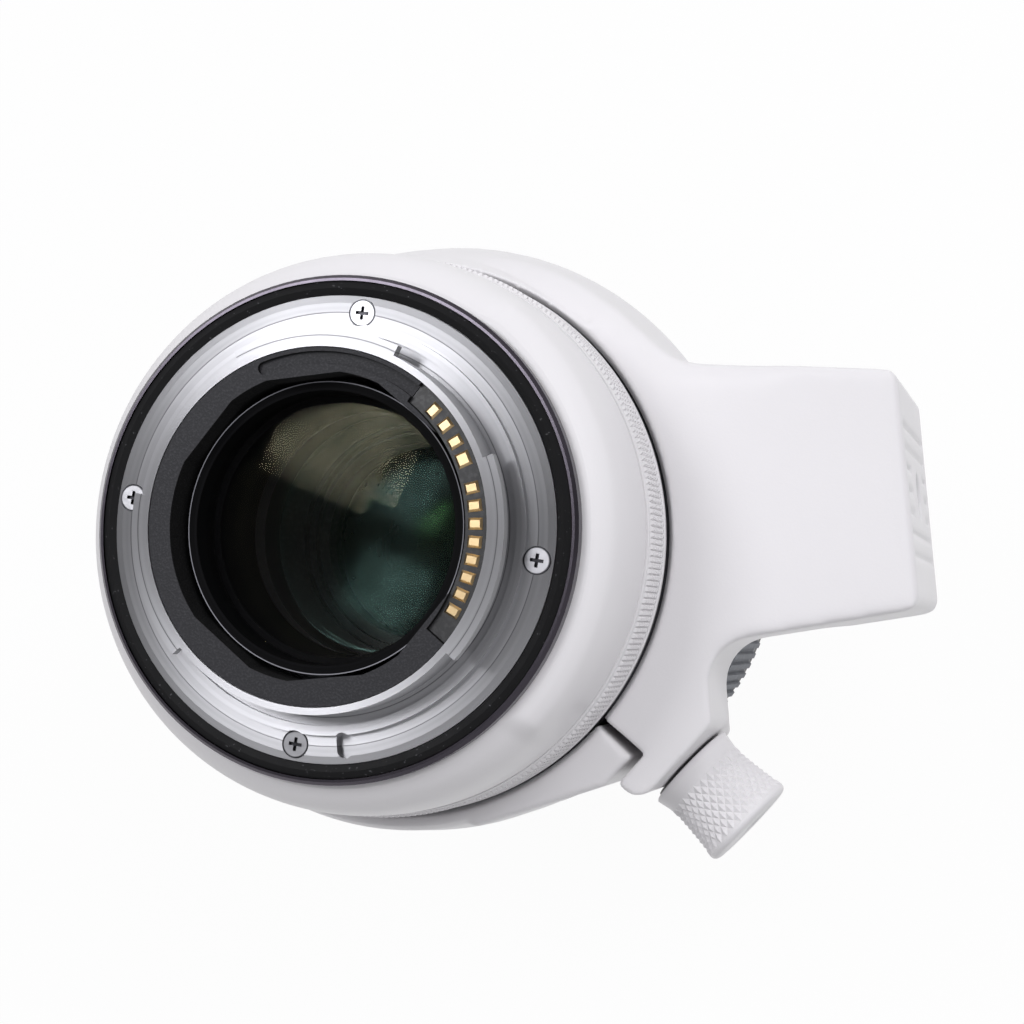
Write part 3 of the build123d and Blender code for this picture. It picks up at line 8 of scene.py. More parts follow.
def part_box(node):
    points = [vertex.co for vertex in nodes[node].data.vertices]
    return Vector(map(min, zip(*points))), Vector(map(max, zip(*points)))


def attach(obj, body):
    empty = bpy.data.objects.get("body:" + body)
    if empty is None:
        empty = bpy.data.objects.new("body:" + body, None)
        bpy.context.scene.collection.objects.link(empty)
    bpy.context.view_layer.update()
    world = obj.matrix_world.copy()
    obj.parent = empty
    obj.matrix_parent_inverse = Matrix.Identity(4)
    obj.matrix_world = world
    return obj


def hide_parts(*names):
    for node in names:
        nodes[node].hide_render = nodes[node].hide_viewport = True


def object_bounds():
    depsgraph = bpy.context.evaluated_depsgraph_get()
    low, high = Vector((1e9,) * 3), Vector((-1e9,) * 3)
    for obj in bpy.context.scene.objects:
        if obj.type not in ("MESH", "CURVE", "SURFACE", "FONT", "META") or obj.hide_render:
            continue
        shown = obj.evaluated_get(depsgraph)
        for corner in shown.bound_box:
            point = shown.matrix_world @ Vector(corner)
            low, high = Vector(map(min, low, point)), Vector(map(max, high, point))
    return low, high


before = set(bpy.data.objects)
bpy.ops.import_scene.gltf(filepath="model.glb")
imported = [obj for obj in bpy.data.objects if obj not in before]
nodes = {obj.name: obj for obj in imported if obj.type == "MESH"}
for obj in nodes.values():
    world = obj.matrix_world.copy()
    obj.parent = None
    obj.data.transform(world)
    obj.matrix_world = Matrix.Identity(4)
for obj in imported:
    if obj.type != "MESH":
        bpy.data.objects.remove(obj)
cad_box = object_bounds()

# Telephoto zoom lens standing on its front rim, seen from above its bayonet mount.
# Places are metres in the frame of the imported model: the optical axis is Z, the flange
# face is at zero and the foot of the tripod collar points to +X.
mm = 0.001


# Camera, at the photograph's viewpoint

camera_place = Vector((92.87, -21.36, 244.5)) * mm
camera_right = Vector((0.95873, -0.07898, -0.27312))
camera_up = Vector((0.09838, 0.99345, 0.05808))
camera_lens = 70.3
camera_sensor = 36.0


def make_camera():
    """Adds the camera that frames the object as the photograph does."""
    data = bpy.data.cameras.new("camera")
    data.lens = camera_lens
    data.sensor_width = camera_sensor
    data.clip_start = 10 * mm
    data.clip_end = 10
    camera = bpy.data.objects.new("camera", data)
    bpy.context.scene.collection.objects.link(camera)
    back = camera_right.cross(camera_up).normalized()
    across = camera_up.cross(back).normalized()
    turn = Matrix((across, camera_up.normalized(), back)).transposed()
    camera.matrix_world = Matrix.Translation(camera_place) @ turn.to_4x4()
    bpy.context.scene.camera = camera


# Shader arithmetic

class Value:
    """A socket that takes part in Python arithmetic by adding Math nodes."""

    def __init__(self, shader, socket):
        self.shader = shader
        self.socket = socket

    def math(self, operation, *terms):
        """Result of a Math node with the given terms."""
        return self.shader.node("ShaderNodeMath", {"operation": operation}, dict(enumerate(terms)))

    def __add__(self, other):
        return self.math("ADD", self, other)

    def __radd__(self, other):
        return self.math("ADD", other, self)

    def __sub__(self, other):
        return self.math("SUBTRACT", self, other)

    def __rsub__(self, other):
        return self.math("SUBTRACT", other, self)

    def __mul__(self, other):
        return self.math("MULTIPLY", self, other)

    def __rmul__(self, other):
        return self.math("MULTIPLY", other, self)

    def __truediv__(self, other):
        return self.math("DIVIDE", self, other)

    def __pow__(self, other):
        return self.math("POWER", self, other)

    def between(self, low, high):
        """Zero below the low value, one above the high value, and smooth in between."""
        ranges = {"From Min": low, "From Max": high, "Value": self}
        return self.shader.node("ShaderNodeMapRange", {"interpolation_type": "SMOOTHSTEP"}, ranges)


class Shader:
    """A material whose nodes are added by expressions."""

    def __init__(self, name):
        self.material = bpy.data.materials.new(name)
        self.material.use_nodes = True
        self.tree = self.material.node_tree
        self.tree.nodes.clear()
        self.place = self.node("ShaderNodeTexCoord", output="Object")

    def node(self, kind, settings=None, inputs=None, output=0):
        """Adds a node: its settings come first, then the values or links of its inputs."""
        made = self.tree.nodes.new(kind)
        for name, value in (settings or {}).items():
            setattr(made, name, value)
        for name, value in (inputs or {}).items():
            if isinstance(value, Value):
                self.tree.links.new(value.socket, made.inputs[name])
            else:
                made.inputs[name].default_value = value
        return Value(self, made.outputs[output]) if made.outputs else None

    def noise(self, size, detail=2, stretch=(1, 1, 1)):
        """Noise whose grains are about the given size, in metres."""
        factors = {0: self.place, 1: stretch}
        place = self.node("ShaderNodeVectorMath", {"operation": "MULTIPLY"}, factors)
        inputs = {"Vector": place, "Scale": 1 / size, "Detail": detail}
        return self.node("ShaderNodeTexNoise", inputs=inputs)

    def mix(self, factor, first, second):
        """Blend of two colours."""
        inputs = {0: factor, 6: first, 7: second}
        return self.node("ShaderNodeMix", {"data_type": "RGBA"}, inputs, output=2)

    def bump(self, height, depth):
        """Normal that follows a height; one unit of it is the given depth, in metres."""
        inputs = {"Height": height, "Distance": depth, "Strength": 1}
        return self.node("ShaderNodeBump", inputs=inputs)

    def parts(self, vector=None):
        """The three coordinates of a vector, or else of the place."""
        made = self.tree.nodes.new("ShaderNodeSeparateXYZ")
        self.tree.links.new((vector or self.place).socket, made.inputs[0])
        return [Value(self, made.outputs[axis]) for axis in "XYZ"]

    def radius(self):
        """Distance from the optical axis."""
        x, y, _ = self.parts()
        return (x * x + y * y) ** 0.5

    def rings(self, width):
        """Fine rings about the optical axis."""
        inputs = {"W": self.radius() / width, "Scale": 1, "Detail": 2}
        return self.node("ShaderNodeTexNoise", {"noise_dimensions": "1D"}, inputs)

    def facing(self):
        """How far the surface faces up the optical axis."""
        return self.parts(self.node("ShaderNodeTexCoord", output="Normal"))[2]

    def surface(self, **sockets):
        """Ends the material in one principled shader; names have _ for spaces."""
        inputs = {name.replace("_", " "): value for name, value in sockets.items()}
        shade = self.node("ShaderNodeBsdfPrincipled", inputs=inputs)
        self.node("ShaderNodeOutputMaterial", inputs={"Surface": shade})
        return self.material


def colour(red, green, blue):
    """A colour with full alpha."""
    return (red, green, blue, 1)


def dim(tone, share):
    """The colour of a tone with a share of its brightness."""
    return colour(*(part * share for part in tone))


# Materials

def make_paint(name, tone):
    """Satin paint with a fine sprayed grain and a faint unevenness."""
    shader = Shader(name)
    cloud = shader.noise(25 * mm, 3)
    speck = shader.noise(0.35 * mm, 2)
    return shader.surface(
        Base_Color=shader.mix(cloud, colour(*tone), dim(tone, 0.95)),
        Roughness=0.37 + cloud * 0.06 + speck * 0.05,
        Coat_Weight=0.12,
        Coat_Roughness=0.25,
        Normal=shader.bump(speck, 0.012 * mm),
    )


# Steps turned into the face of the mount: their radii, the half widths of their lines
# without and with soft edges, and their height in units of the depth of the fine rings
step_radii = (24.6 * mm, 28.4 * mm)
step_line = 0.04 * mm
step_edge = 0.10 * mm
step_height = 4
step_blend = 0.02 * mm
ring_depth = 0.004 * mm


def make_turned_metal(name, tone, rough):
    """Metal turned on a lathe: its rings smear the light into sweeps from the middle outwards."""
    shader = Shader(name)
    fine = shader.rings(0.09 * mm)
    wide = shader.rings(0.8 * mm)
    smear = shader.noise(9 * mm, 3)
    radius = shader.radius()
    land = 1
    for place in step_radii:
        away = radius - place
        land = land * away.math("ABSOLUTE", away).between(step_line, step_edge)
    outer = radius.between(step_radii[1] - step_blend, step_radii[1] + step_blend) * 0.55
    metal = shader.mix(wide, colour(*tone), dim(tone, 0.72))
    metal = shader.mix(outer, metal, dim(tone, 0.5))
    return shader.surface(
        Base_Color=shader.mix(land, colour(0.26, 0.26, 0.27), metal),
        Metallic=1.0,
        Roughness=rough + fine * 0.06 + smear * 0.05,
        Anisotropic=0.96,
        Anisotropic_Rotation=0.25,
        Normal=shader.bump(fine + land * step_height, ring_depth),
    )


def make_metal(name, tone, rough):
    """Plain metal with a faint cloudiness and fine scratches."""
    shader = Shader(name)
    cloud = shader.noise(4 * mm, 3)
    speck = shader.noise(0.5 * mm, 3, (1, 1, 0.2))
    return shader.surface(
        Base_Color=shader.mix(cloud, colour(*tone), dim(tone, 0.8)),
        Metallic=1.0,
        Roughness=rough + cloud * 0.08 + speck * 0.08,
        Normal=shader.bump(speck, 0.004 * mm),
    )


def make_plastic(name, tone, rough, grain, depth):
    """Moulded plastic with a grain, lighter on the tops of the grain."""
    shader = Shader(name)
    speck = shader.noise(grain, 2)
    cloud = shader.noise(7 * mm, 2)
    top = speck.between(0.45, 0.7)
    return shader.surface(
        Base_Color=shader.mix(top, colour(*tone), colour(*(part * 1.5 + 0.004 for part in tone))),
        Roughness=rough + cloud * 0.08 - top * 0.08,
        Specular_IOR_Level=0.5,
        Normal=shader.bump(speck, depth),
    )


def make_rubber(name, tone):
    """Matt rubber with a dusty bloom and a fine grain."""
    shader = Shader(name)
    dust = shader.noise(2.2 * mm, 4)
    speck = shader.noise(0.2 * mm, 2)
    pale = colour(*(part * 1.35 + 0.01 for part in tone))
    return shader.surface(
        Base_Color=shader.mix(dust.between(0.4, 0.8), colour(*tone), pale),
        Roughness=0.62 + dust * 0.12,
        Sheen_Weight=0.1,
        Normal=shader.bump(speck, 0.01 * mm),
    )


def make_shroud(name):
    """Sand-textured dark plastic, with black flock on the walls of the opening."""
    shader = Shader(name)
    speck = shader.noise(0.3 * mm, 2)
    pile = shader.noise(0.12 * mm, 3)
    top = speck.between(0.45, 0.7)
    wall = 1 - shader.facing().between(0.3, 0.6)
    plastic = shader.mix(top, colour(0.020, 0.020, 0.023), colour(0.030, 0.030, 0.034))
    tips = pile.between(0.5, 0.75)
    flock = shader.mix(tips, colour(0.003, 0.003, 0.003), colour(0.03, 0.03, 0.032))
    return shader.surface(
        Base_Color=shader.mix(wall, plastic, flock),
        Roughness=0.58 + wall * 0.35 - top * 0.06,
        Specular_IOR_Level=0.35,
        Normal=shader.bump(speck, 0.05 * mm),
    )


def make_cell(name, edge):
    """Black anodised cell; a thin light ring at the outer edge of its upward faces is a painted
    highlight, also less rough.
    """
    shader = Shader(name)
    rings = shader.rings(0.25 * mm)
    # Painted highlight: a thin light ring at the outer edge of the faces that look up the axis
    # stands in for the glint of a bevel.
    glint_ring = shader.radius().between(edge - 0.16 * mm, edge - 0.10 * mm)
    painted_glint = glint_ring * shader.facing().between(0.7, 0.9)
    black = shader.mix(rings, colour(0.002, 0.002, 0.002), colour(0.005, 0.005, 0.006))
    return shader.surface(
        Base_Color=shader.mix(painted_glint, black, colour(0.30, 0.30, 0.33)),
        Roughness=0.75 - painted_glint * 0.4,
        Specular_IOR_Level=0.12,
        Normal=shader.bump(rings, 0.01 * mm),
    )


def make_seal(name):
    """Black rubber with a few specks of dust."""
    shader = Shader(name)
    speck = shader.noise(0.45 * mm, 2).between(0.68, 0.74)
    cloud = shader.noise(3 * mm, 3)
    return shader.surface(
        Base_Color=shader.mix(speck, colour(0.0035, 0.0035, 0.004), colour(0.07, 0.07, 0.075)),
        Roughness=0.5 + cloud * 0.2,
        Specular_IOR_Level=0.3,
        Normal=shader.bump(cloud, 0.05 * mm),
    )


# Screws of the mount: their count, the angle of the first, the radius of a head, where the painted
# shade round its rim fades in, the depths where the painted shade of its recess begins, and their
# reach from the axis
screw_count = 4
screw_angle = radians(76.2)
screw_head = 1.8 * mm
screw_rim_shade = (1.52 * mm, 1.7 * mm)
screw_recess_shade = (0.3 * mm, 0.06 * mm)
screw_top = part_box("mount_screws")[1][2]
screw_circle = (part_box("mount_screws")[1][1] - screw_head) / sin(screw_angle)


def make_screws(name):
    """Steel screws with painted shade: dark in their recesses, round the rims of their heads and
    below their tops.
    """
    shader = Shader(name)
    cloud = shader.noise(1.2 * mm, 3)
    x, y, z = shader.parts()
    heads = 0
    for number in range(screw_count):
        angle = screw_angle + 2 * pi * number / screw_count
        across, along = x - screw_circle * cos(angle), y - screw_circle * sin(angle)
        reach = (across * across + along * along) ** 0.5
        heads = heads + (1 - reach.between(*screw_rim_shade))
    # Painted shade: only the tops of the heads inside their rims keep the steel colour; recesses,
    # rims and all lower surfaces are painted dark.
    unshaded_top = z.between(screw_top - screw_recess_shade[0], screw_top - screw_recess_shade[1]) * heads
    return shader.surface(
        Base_Color=shader.mix(unshaded_top, colour(0.05, 0.05, 0.055), colour(0.52, 0.52, 0.54)),
        Metallic=1.0,
        Roughness=0.24 + cloud * 0.16,
        Normal=shader.bump(cloud, 0.02 * mm),
    )


# Glass: its index, the strength of reflections from inside, and what lies behind its surface:
# clear, or a near-black painted shade
glass_index = 1.5
glass_inside = 0.05
glass_clear = colour(0.97, 0.97, 0.97)
glass_painted_shade = colour(0.002, 0.003, 0.004)


def make_coating(name, tint, strength, rough=0.15, shade_backed=False):
    """Coated glass with tinted reflections: clear, or, when so asked, backed by a near-black
    diffuse colour that is painted shade for the dark inside of the lens.
    """
    shader = Shader(name)
    haze = shader.noise(5 * mm, 3)
    rings = shader.rings(0.9 * mm)
    glance = shader.node("ShaderNodeFresnel", inputs={"IOR": glass_index})
    back = shader.node("ShaderNodeNewGeometry", output="Backfacing")
    near = glance * (strength * (1 - back))
    patches = 0.5 + rings * 0.4 + haze.between(0.35, 0.65) * 0.6
    share = (near + back * (strength * glass_inside)) * patches
    gloss_tint = shader.mix(haze, colour(*tint), dim(tint, 0.85))
    gloss = shader.node("ShaderNodeBsdfGlossy", inputs={"Color": gloss_tint, "Roughness": rough})
    # Painted shade: the near-black diffuse backing stands in for the darkness inside the barrel.
    if shade_backed:
        under = shader.node("ShaderNodeBsdfDiffuse", inputs={"Color": glass_painted_shade})
    else:
        under = shader.node("ShaderNodeBsdfTransparent", inputs={"Color": glass_clear})
    both = shader.node("ShaderNodeMixShader", inputs={0: share, 1: under, 2: gloss})
    shader.node("ShaderNodeOutputMaterial", inputs={"Surface": both})
    return shader.material


def make_board(name):
    """Green lacquered circuit board with faint pale tracks."""
    shader = Shader(name)
    x, y, _ = shader.parts()
    tracks = x.math("SINE", x * 2600) * y.math("SINE", y * 1900)
    line = tracks.between(0.2, 0.35)
    return shader.surface(
        Base_Color=shader.mix(line, colour(0.02, 0.12, 0.06), colour(0.05, 0.22, 0.10)),
        Roughness=0.3 + line * 0.1,
        Normal=shader.bump(line, 0.02 * mm),
    )


def make_felt(name):
    """Dark felt with a soft pile."""
    shader = Shader(name)
    pile = shader.noise(0.3 * mm, 4)
    return shader.surface(
        Base_Color=shader.mix(pile, colour(0.03, 0.03, 0.035), colour(0.09, 0.09, 0.1)),
        Roughness=0.85 + pile * 0.1,
        Sheen_Weight=0.4,
        Normal=shader.bump(pile, 0.08 * mm),
    )


cell_edge = 19.1 * mm
materials = {
    "white_paint": make_paint("white_paint", (0.78, 0.765, 0.775)),
    "mount_steel": make_turned_metal("mount_steel", (0.62, 0.62, 0.64), 0.31),
    "plain_steel": make_metal("plain_steel", (0.62, 0.62, 0.63), 0.28),
    "shroud_plastic": make_shroud("shroud_plastic"),
    "rim_plastic": make_plastic("rim_plastic", (0.03, 0.03, 0.032), 0.45, 0.3 * mm, 0.02 * mm),
    "block_plastic": make_plastic("block_plastic", (0.018, 0.018, 0.019), 0.4, 0.5 * mm,
                                  0.01 * mm),
    "gold": make_metal("gold", (0.75, 0.56, 0.31), 0.24),
    "seal_rubber": make_seal("seal_rubber"),
    "grip_rubber": make_rubber("grip_rubber", (0.17, 0.18, 0.20)),
    "trim_metal": make_metal("trim_metal", (0.10, 0.09, 0.108), 0.16),
    "black_metal": make_plastic("black_metal", (0.012, 0.012, 0.013), 0.35, 0.2 * mm,
                                0.01 * mm),
    "bare_metal": make_metal("bare_metal", (0.55, 0.55, 0.57), 0.35),
    "rear_cell_black": make_cell("rear_cell_black", cell_edge),
    "screw_steel": make_screws("screw_steel"),
    "olive_coating": make_coating("olive_coating", (0.95, 0.91, 0.62), 0.115, rough=0.03),
    "teal_coating": make_coating("teal_coating", (0.52, 0.95, 0.84), 0.2),
    "green_coating": make_coating("green_coating", (0.38, 0.95, 0.36), 0.26),
    "blue_coating": make_coating("blue_coating", (0.35, 0.50, 0.80), 0.35, shade_backed=True),
    "front_coating": make_coating("front_coating", (0.55, 0.40, 0.90), 0.5),
    "felt": make_felt("felt"),
    "board": make_board("board"),
    "copper": make_metal("copper", (0.75, 0.42, 0.25), 0.3),
}
finishes = {
    "white_paint": ["rear_barrel", "control_ring", "collar_body", "collar_jaw", "clamp_knob",
                    "mid_cover", "zoom_ring", "stop_ring", "focus_ring", "nose_ring",
                    "front_barrel", "switch_panel"],
    "mount_steel": ["bayonet_mount"],
    "plain_steel": ["hinge_pin", "clamp_stud", "focus_rods", "front_followers",
                    "zoom_followers", "zoom_key"],
    "shroud_plastic": ["light_shroud"],
    "rim_plastic": ["front_rim", "front_bezel"],
    "block_plastic": ["contact_block", "stabiliser_frame", "stabiliser_yoke", "stabiliser_cell",
                      "switch_1", "switch_2", "switch_3", "switch_4", "focus_motor"],
    "gold": ["contact_pins"],
    "seal_rubber": ["mount_seal"],
    "grip_rubber": ["zoom_grip", "focus_grip"],
    "trim_metal": ["mount_trim_ring"],
    "black_metal": ["clamp_washer", "focus_carrier", "zoom_carrier", "front_cell", "iris_housing",
                    "iris_blades", "guide_barrel", "cam_barrel"],
    "rear_cell_black": ["rear_cell"],
    "screw_steel": ["mount_screws"],
    "bare_metal": ["mount_chassis", "main_barrel"],
    "olive_coating": ["rear_glass"],
    "teal_coating": ["focus_glass"],
    "green_coating": ["stabiliser_glass"],
    "blue_coating": ["zoom_glass"],
    "front_coating": ["front_glass"],
    "felt": ["collar_lining", "jaw_lining"],
    "board": ["circuit_board"],
    "copper": ["stabiliser_coils"],
}


def finish_nodes():
    """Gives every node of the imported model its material."""
    for name, members in finishes.items():
        for member in members:
            data = nodes[member].data
            data.materials.clear()
            data.materials.append(materials[name])


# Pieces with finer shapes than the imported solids

def add_piece(name, points, faces, material, node, body, smooth=True, corners=3):
    """Adds a mesh in place of a node; unless smooth, only faces with more corners are smooth."""
    data = bpy.data.meshes.new(name)
    data.from_pydata(points, [], faces)
    data.polygons.foreach_set("use_smooth", [smooth or len(face) > corners for face in faces])
    data.materials.append(materials[material])
    data.update()
    piece = bpy.data.objects.new(name, data)
    bpy.context.scene.collection.objects.link(piece)
    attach(piece, body)
    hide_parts(node)
    return piece


def lathe_faces(rows, columns, tip=None):
    """Faces of a closed band of rows by columns; those at a tip are split along lines to it."""
    faces = []
    for row in range(rows):
        for column in range(columns):
            below, after = (row + 1) % rows, (column + 1) % columns
            corners = [(row, column), (below, column), (below, after), (row, after)]
            tips = [tip is not None and tip(*corner) for corner in corners]
            ring = [a * columns + b for a, b in corners]
            if not any(tips):
                faces.append(ring)
            elif tips[0] != tips[2] or (tips[1] and tips[3]):
                faces += [(ring[0], ring[1], ring[2]), (ring[0], ring[2], ring[3])]
            else:
                faces += [(ring[0], ring[1], ring[3]), (ring[1], ring[2], ring[3])]
    return faces


def smooth_step(share):
    """Zero to one with soft ends."""
    share = min(max(share, 0), 1)
    return share * share * (3 - 2 * share)


def smooth_line(corners, steps, tension=0.5):
    """Points along a soft curve that passes through the corners."""
    padded = [corners[0]] + corners + [corners[-1]]
    line = []
    for index in range(1, len(padded) - 2):
        before, start, end, after = (Vector(point) for point in padded[index - 1:index + 3])
        for step in range(steps):
            t = step / steps
            leave, arrive = (end - before) * tension, (after - start) * tension
            line.append(start * (2 * t ** 3 - 3 * t ** 2 + 1) + leave * (t ** 3 - 2 * t ** 2 + t)
                        + end * (3 * t ** 2 - 2 * t ** 3) + arrive * (t ** 3 - t ** 2))
    return line + [Vector(corners[-1])]


# Rear barrel: the fuller side blends into the plain side over a few degrees

shell_plain = [(34.0, -2.6), (35.9, -4.6), (37.4, -7.4), (38.25, -11.0), (38.55, -14.5),
               (38.6, -17.4)]
shell_full = [(34.6, -2.6), (36.0, -3.4), (37.4, -5.0), (38.2, -8.2), (38.5, -12.0),
              (38.6, -17.4)]
shell_inside = [(38.5, -17.8), (37.0, -17.8), (36.7, -11.0), (36.0, -9.0), (32.4, -2.9),
                (32.6, -2.6)]
shell_steps = 8
shell_columns = 480
shell_blend = 6.0
shell_full_start = -54.0
shell_full_end = 51.0


def make_rear_barrel():
    """White shell with a soft shoulder."""
    plain = smooth_line(shell_plain, shell_steps)
    full = smooth_line(shell_full, shell_steps)
    inside = [Vector(point) for point in shell_inside]
    points = []
    for index in range(len(plain) + len(inside)):
        for column in range(shell_columns):
            angle = 360 * column / shell_columns
            signed = (angle + 180) % 360 - 180
            share = min(signed - shell_full_start, shell_full_end - signed) / shell_blend
            if index < len(plain):
                radius, height = plain[index].lerp(full[index], smooth_step(share))
            else:
                radius, height = inside[index - len(plain)]
            turn = radians(angle)
            points.append(Vector((radius * cos(turn), radius * sin(turn), height)) * mm)
    rows = len(plain) + len(inside)
    faces = lathe_faces(rows, shell_columns)
    return add_piece("rear_shell", points, faces, "white_paint", "rear_barrel", "barrel")


# Control ring: a band of small blocks between two plain edges

control_cells = 300
control_rows = 5
control_low = 38.85
control_high = 39.25
control_band = (19.0, 26.6)
control_slopes = (0.0, 0.28, 0.72)
control_edges = [(36.8, -18.1), (38.7, -18.1), (38.8, -18.25)]
control_back = [(39.0, -26.75), (39.3, -26.9), (39.3, -27.6), (39.2, -27.7), (36.8, -27.7)]


def make_control_ring():
    """White ring with a fine knurl."""
    steps = len(control_slopes)
    columns = steps * control_cells
    band = steps * control_rows + 1
    first = len(control_edges)
    pitch = (control_band[1] - control_band[0]) / control_rows
    profile = list(control_edges)
    for row in range(band):
        share = row // steps + control_slopes[row % steps]
        profile.append((control_low, -control_band[0] - pitch * share))
    profile += control_back

    def is_high(row, column):
        return first <= row < first + band - 1 and (row - first) % steps > 0 and column % steps > 0

    points = []
    for row, (radius, height) in enumerate(profile):
        for column in range(columns):
            turn = 2 * pi * (column // steps + control_slopes[column % steps]) / control_cells
            reach = control_high if is_high(row, column) else radius
            points.append(Vector((reach * cos(turn), reach * sin(turn), height)) * mm)
    faces = lathe_faces(len(profile), columns)
    return add_piece("knurled_ring", points, faces, "white_paint", "control_ring", "control_ring",
                     smooth=False, corners=4)


# Clamp knob: a smooth neck and a coarse diamond knurl

clamp_angle = radians(-48.0)
clamp_offset = 3.2
clamp_depth = 43.0
knob_start = 51.45
knob_neck = [(2.55, 0.0), (6.75, 0.0), (6.95, 0.2), (6.8, 1.0), (6.6, 1.9), (6.5, 2.6)]
knob_band = (2.7, 11.0)
knob_band_radii = (6.5, 7.3)
knob_cut = 0.36
knob_rows = 10
knob_columns = 60
knob_end = [(7.3, 11.15), (7.2, 11.5), (6.9, 11.8), (6.5, 11.95), (6.0, 12.0), (0.4, 12.0)]
knob_inside = [(0.4, 10.4), (2.55, 10.4)]


def make_knob():
    """Round knob on the clamp's axis."""
    out = Vector((cos(clamp_angle), sin(clamp_angle), 0))
    side = Vector((-out.y, out.x, 0))
    middle = side * clamp_offset - Vector((0, 0, clamp_depth))
    profile = list(knob_neck)
    first = len(profile)
    for row in range(knob_rows + 1):
        share = row / knob_rows
        flare = knob_band_radii[0] + (knob_band_radii[1] - knob_band_radii[0]) * share ** 1.5
        profile.append((flare, knob_band[0] + share * (knob_band[1] - knob_band[0])))
    profile += knob_end + knob_inside

    def is_low(row, column):
        return first < row < first + knob_rows and (row - first + column) % 2 == 0

    def is_tip(row, column):
        return first <= row <= first + knob_rows and (row - first + column) % 2 == 1

    points = []
    for row, (radius, along) in enumerate(profile):
        for column in range(knob_columns):
            turn = 2 * pi * column / knob_columns
            reach = radius - (knob_cut if is_low(row, column) else 0)
            spoke = side * cos(turn) + Vector((0, 0, sin(turn)))
            points.append((middle + out * (knob_start + along) + spoke * reach) * mm)
    faces = lathe_faces(len(profile), knob_columns, is_tip)
    return add_piece("knurled_knob", points, faces, "white_paint", "clamp_knob", "clamp_knob",
                     smooth=False)


# Inner lenses: the curves of their faces place the coloured reflections

lens_columns = 96
lens_rows = 12


def make_lens(name, node, body, material, near_rise, far_rise):
    """Round glass in a node's box; the middle of each face rises towards the mount."""
    low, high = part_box(node)
    radius = (high[0] - low[0]) / 2
    near_edge = high[2] - max(near_rise, 0)
    far_edge = low[2] - min(far_rise, 0)
    points = []
    for edge, rise, order in ((near_edge, near_rise, 1), (far_edge, far_rise, -1)):
        rows = range(lens_rows + 1)[::order]
        for row in rows:
            share = row / lens_rows
            height = edge + rise * (1 - share * share)
            if row == 0:
                points.append(Vector((0, 0, height)))
                continue
            for column in range(lens_columns):
                turn = 2 * pi * column / lens_columns
                reach = radius * share
                points.append(Vector((reach * cos(turn), reach * sin(turn), height)))
    last = len(points) - 1
    faces = []
    for column in range(lens_columns):
        after = (column + 1) % lens_columns
        faces.append((0, 1 + column, 1 + after))
        faces.append((last, last - lens_columns + after, last - lens_columns + column))
        for row in range(2 * lens_rows - 1):
            start = 1 + row * lens_columns
            end = start + lens_columns
            faces.append((start + column, end + column, end + after, start + after))
    return add_piece(name, points, faces, material, node, body)


# Collar: the castings remeshed, so that their edges and blends turn soft

collar_voxel = 0.45 * mm
collar_rounds = 60
hinge_angle = 131.0
seam_angle = -46.0

# Weights of the softening, in millimetres and degrees: a start, and the length of the change
bore_ramp = (41.5, 1.5)
hinge_ramp = (6.0, 4.0)
seam_ramp = (2.0, 8.0)
seam_least = 0.12
lug_ramp = (18.0, 4.0)
lug_hold = 0.85
lug_reach = 25.0
sole_ramp = (-72.0, 1.5)
sole_least = 0.2
root_ramps = {"from": (4.0, 8.0), "to": (-110.0, 20.0), "out": (-58.0, 6.0), "front": (-52.0, 6.0)}
plain_weight = 0.16
root_weight = 0.5


def ramp(values, start, length, least=0.0):
    """Rises to one over a length from a start, and is never below the least value."""
    return np.clip((values - start) / length, least, 1.0)


def soften(points, edges, weights, rounds):
    """Moves each point towards the middle of its neighbours, more where its weight is larger."""
    count = len(points)
    ends = np.concatenate([edges[:, 0], edges[:, 1]])
    others = np.concatenate([edges[:, 1], edges[:, 0]])
    degree = np.bincount(ends, minlength=count)[:, None]
    for _ in range(rounds):
        sums = [np.bincount(ends, points[others, axis], count) for axis in range(3)]
        total = np.stack(sums, axis=1)
        points = points + (total / degree - points) * weights[:, None]
    return points


def soft_copy(node, name, body, weigh, extra=None):
    """Remeshed and softened copy of a node, joined with extra points and faces."""
    source = nodes[node]
    points = [source.matrix_world @ vertex.co for vertex in source.data.vertices]
    faces = [tuple(face.vertices) for face in source.data.polygons]
    if extra:
        faces += [tuple(len(points) + index for index in face) for face in extra[1]]
        points += extra[0]
    rough = bpy.data.meshes.new(name)
    rough.from_pydata(points, [], faces)
    piece = bpy.data.objects.new(name, rough)
    bpy.context.scene.collection.objects.link(piece)
    remesh = piece.modifiers.new("remesh", "REMESH")
    remesh.mode = "VOXEL"
    remesh.voxel_size = collar_voxel
    graph = bpy.context.evaluated_depsgraph_get()
    data = bpy.data.meshes.new_from_object(piece.evaluated_get(graph))
    piece.modifiers.clear()
    piece.data = data
    points = np.empty(len(data.vertices) * 3)
    data.vertices.foreach_get("co", points)
    points = points.reshape(-1, 3)
    edges = np.empty(len(data.edges) * 2, dtype=np.int64)
    data.edges.foreach_get("vertices", edges)
    points = soften(points, edges.reshape(-1, 2), weigh(points), collar_rounds)
    data.vertices.foreach_set("co", points.ravel())
    data.polygons.foreach_set("use_smooth", [True] * len(data.polygons))
    data.materials.clear()
    data.materials.append(materials["white_paint"])
    data.update()
    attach(piece, body)
    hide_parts(node)
    return piece


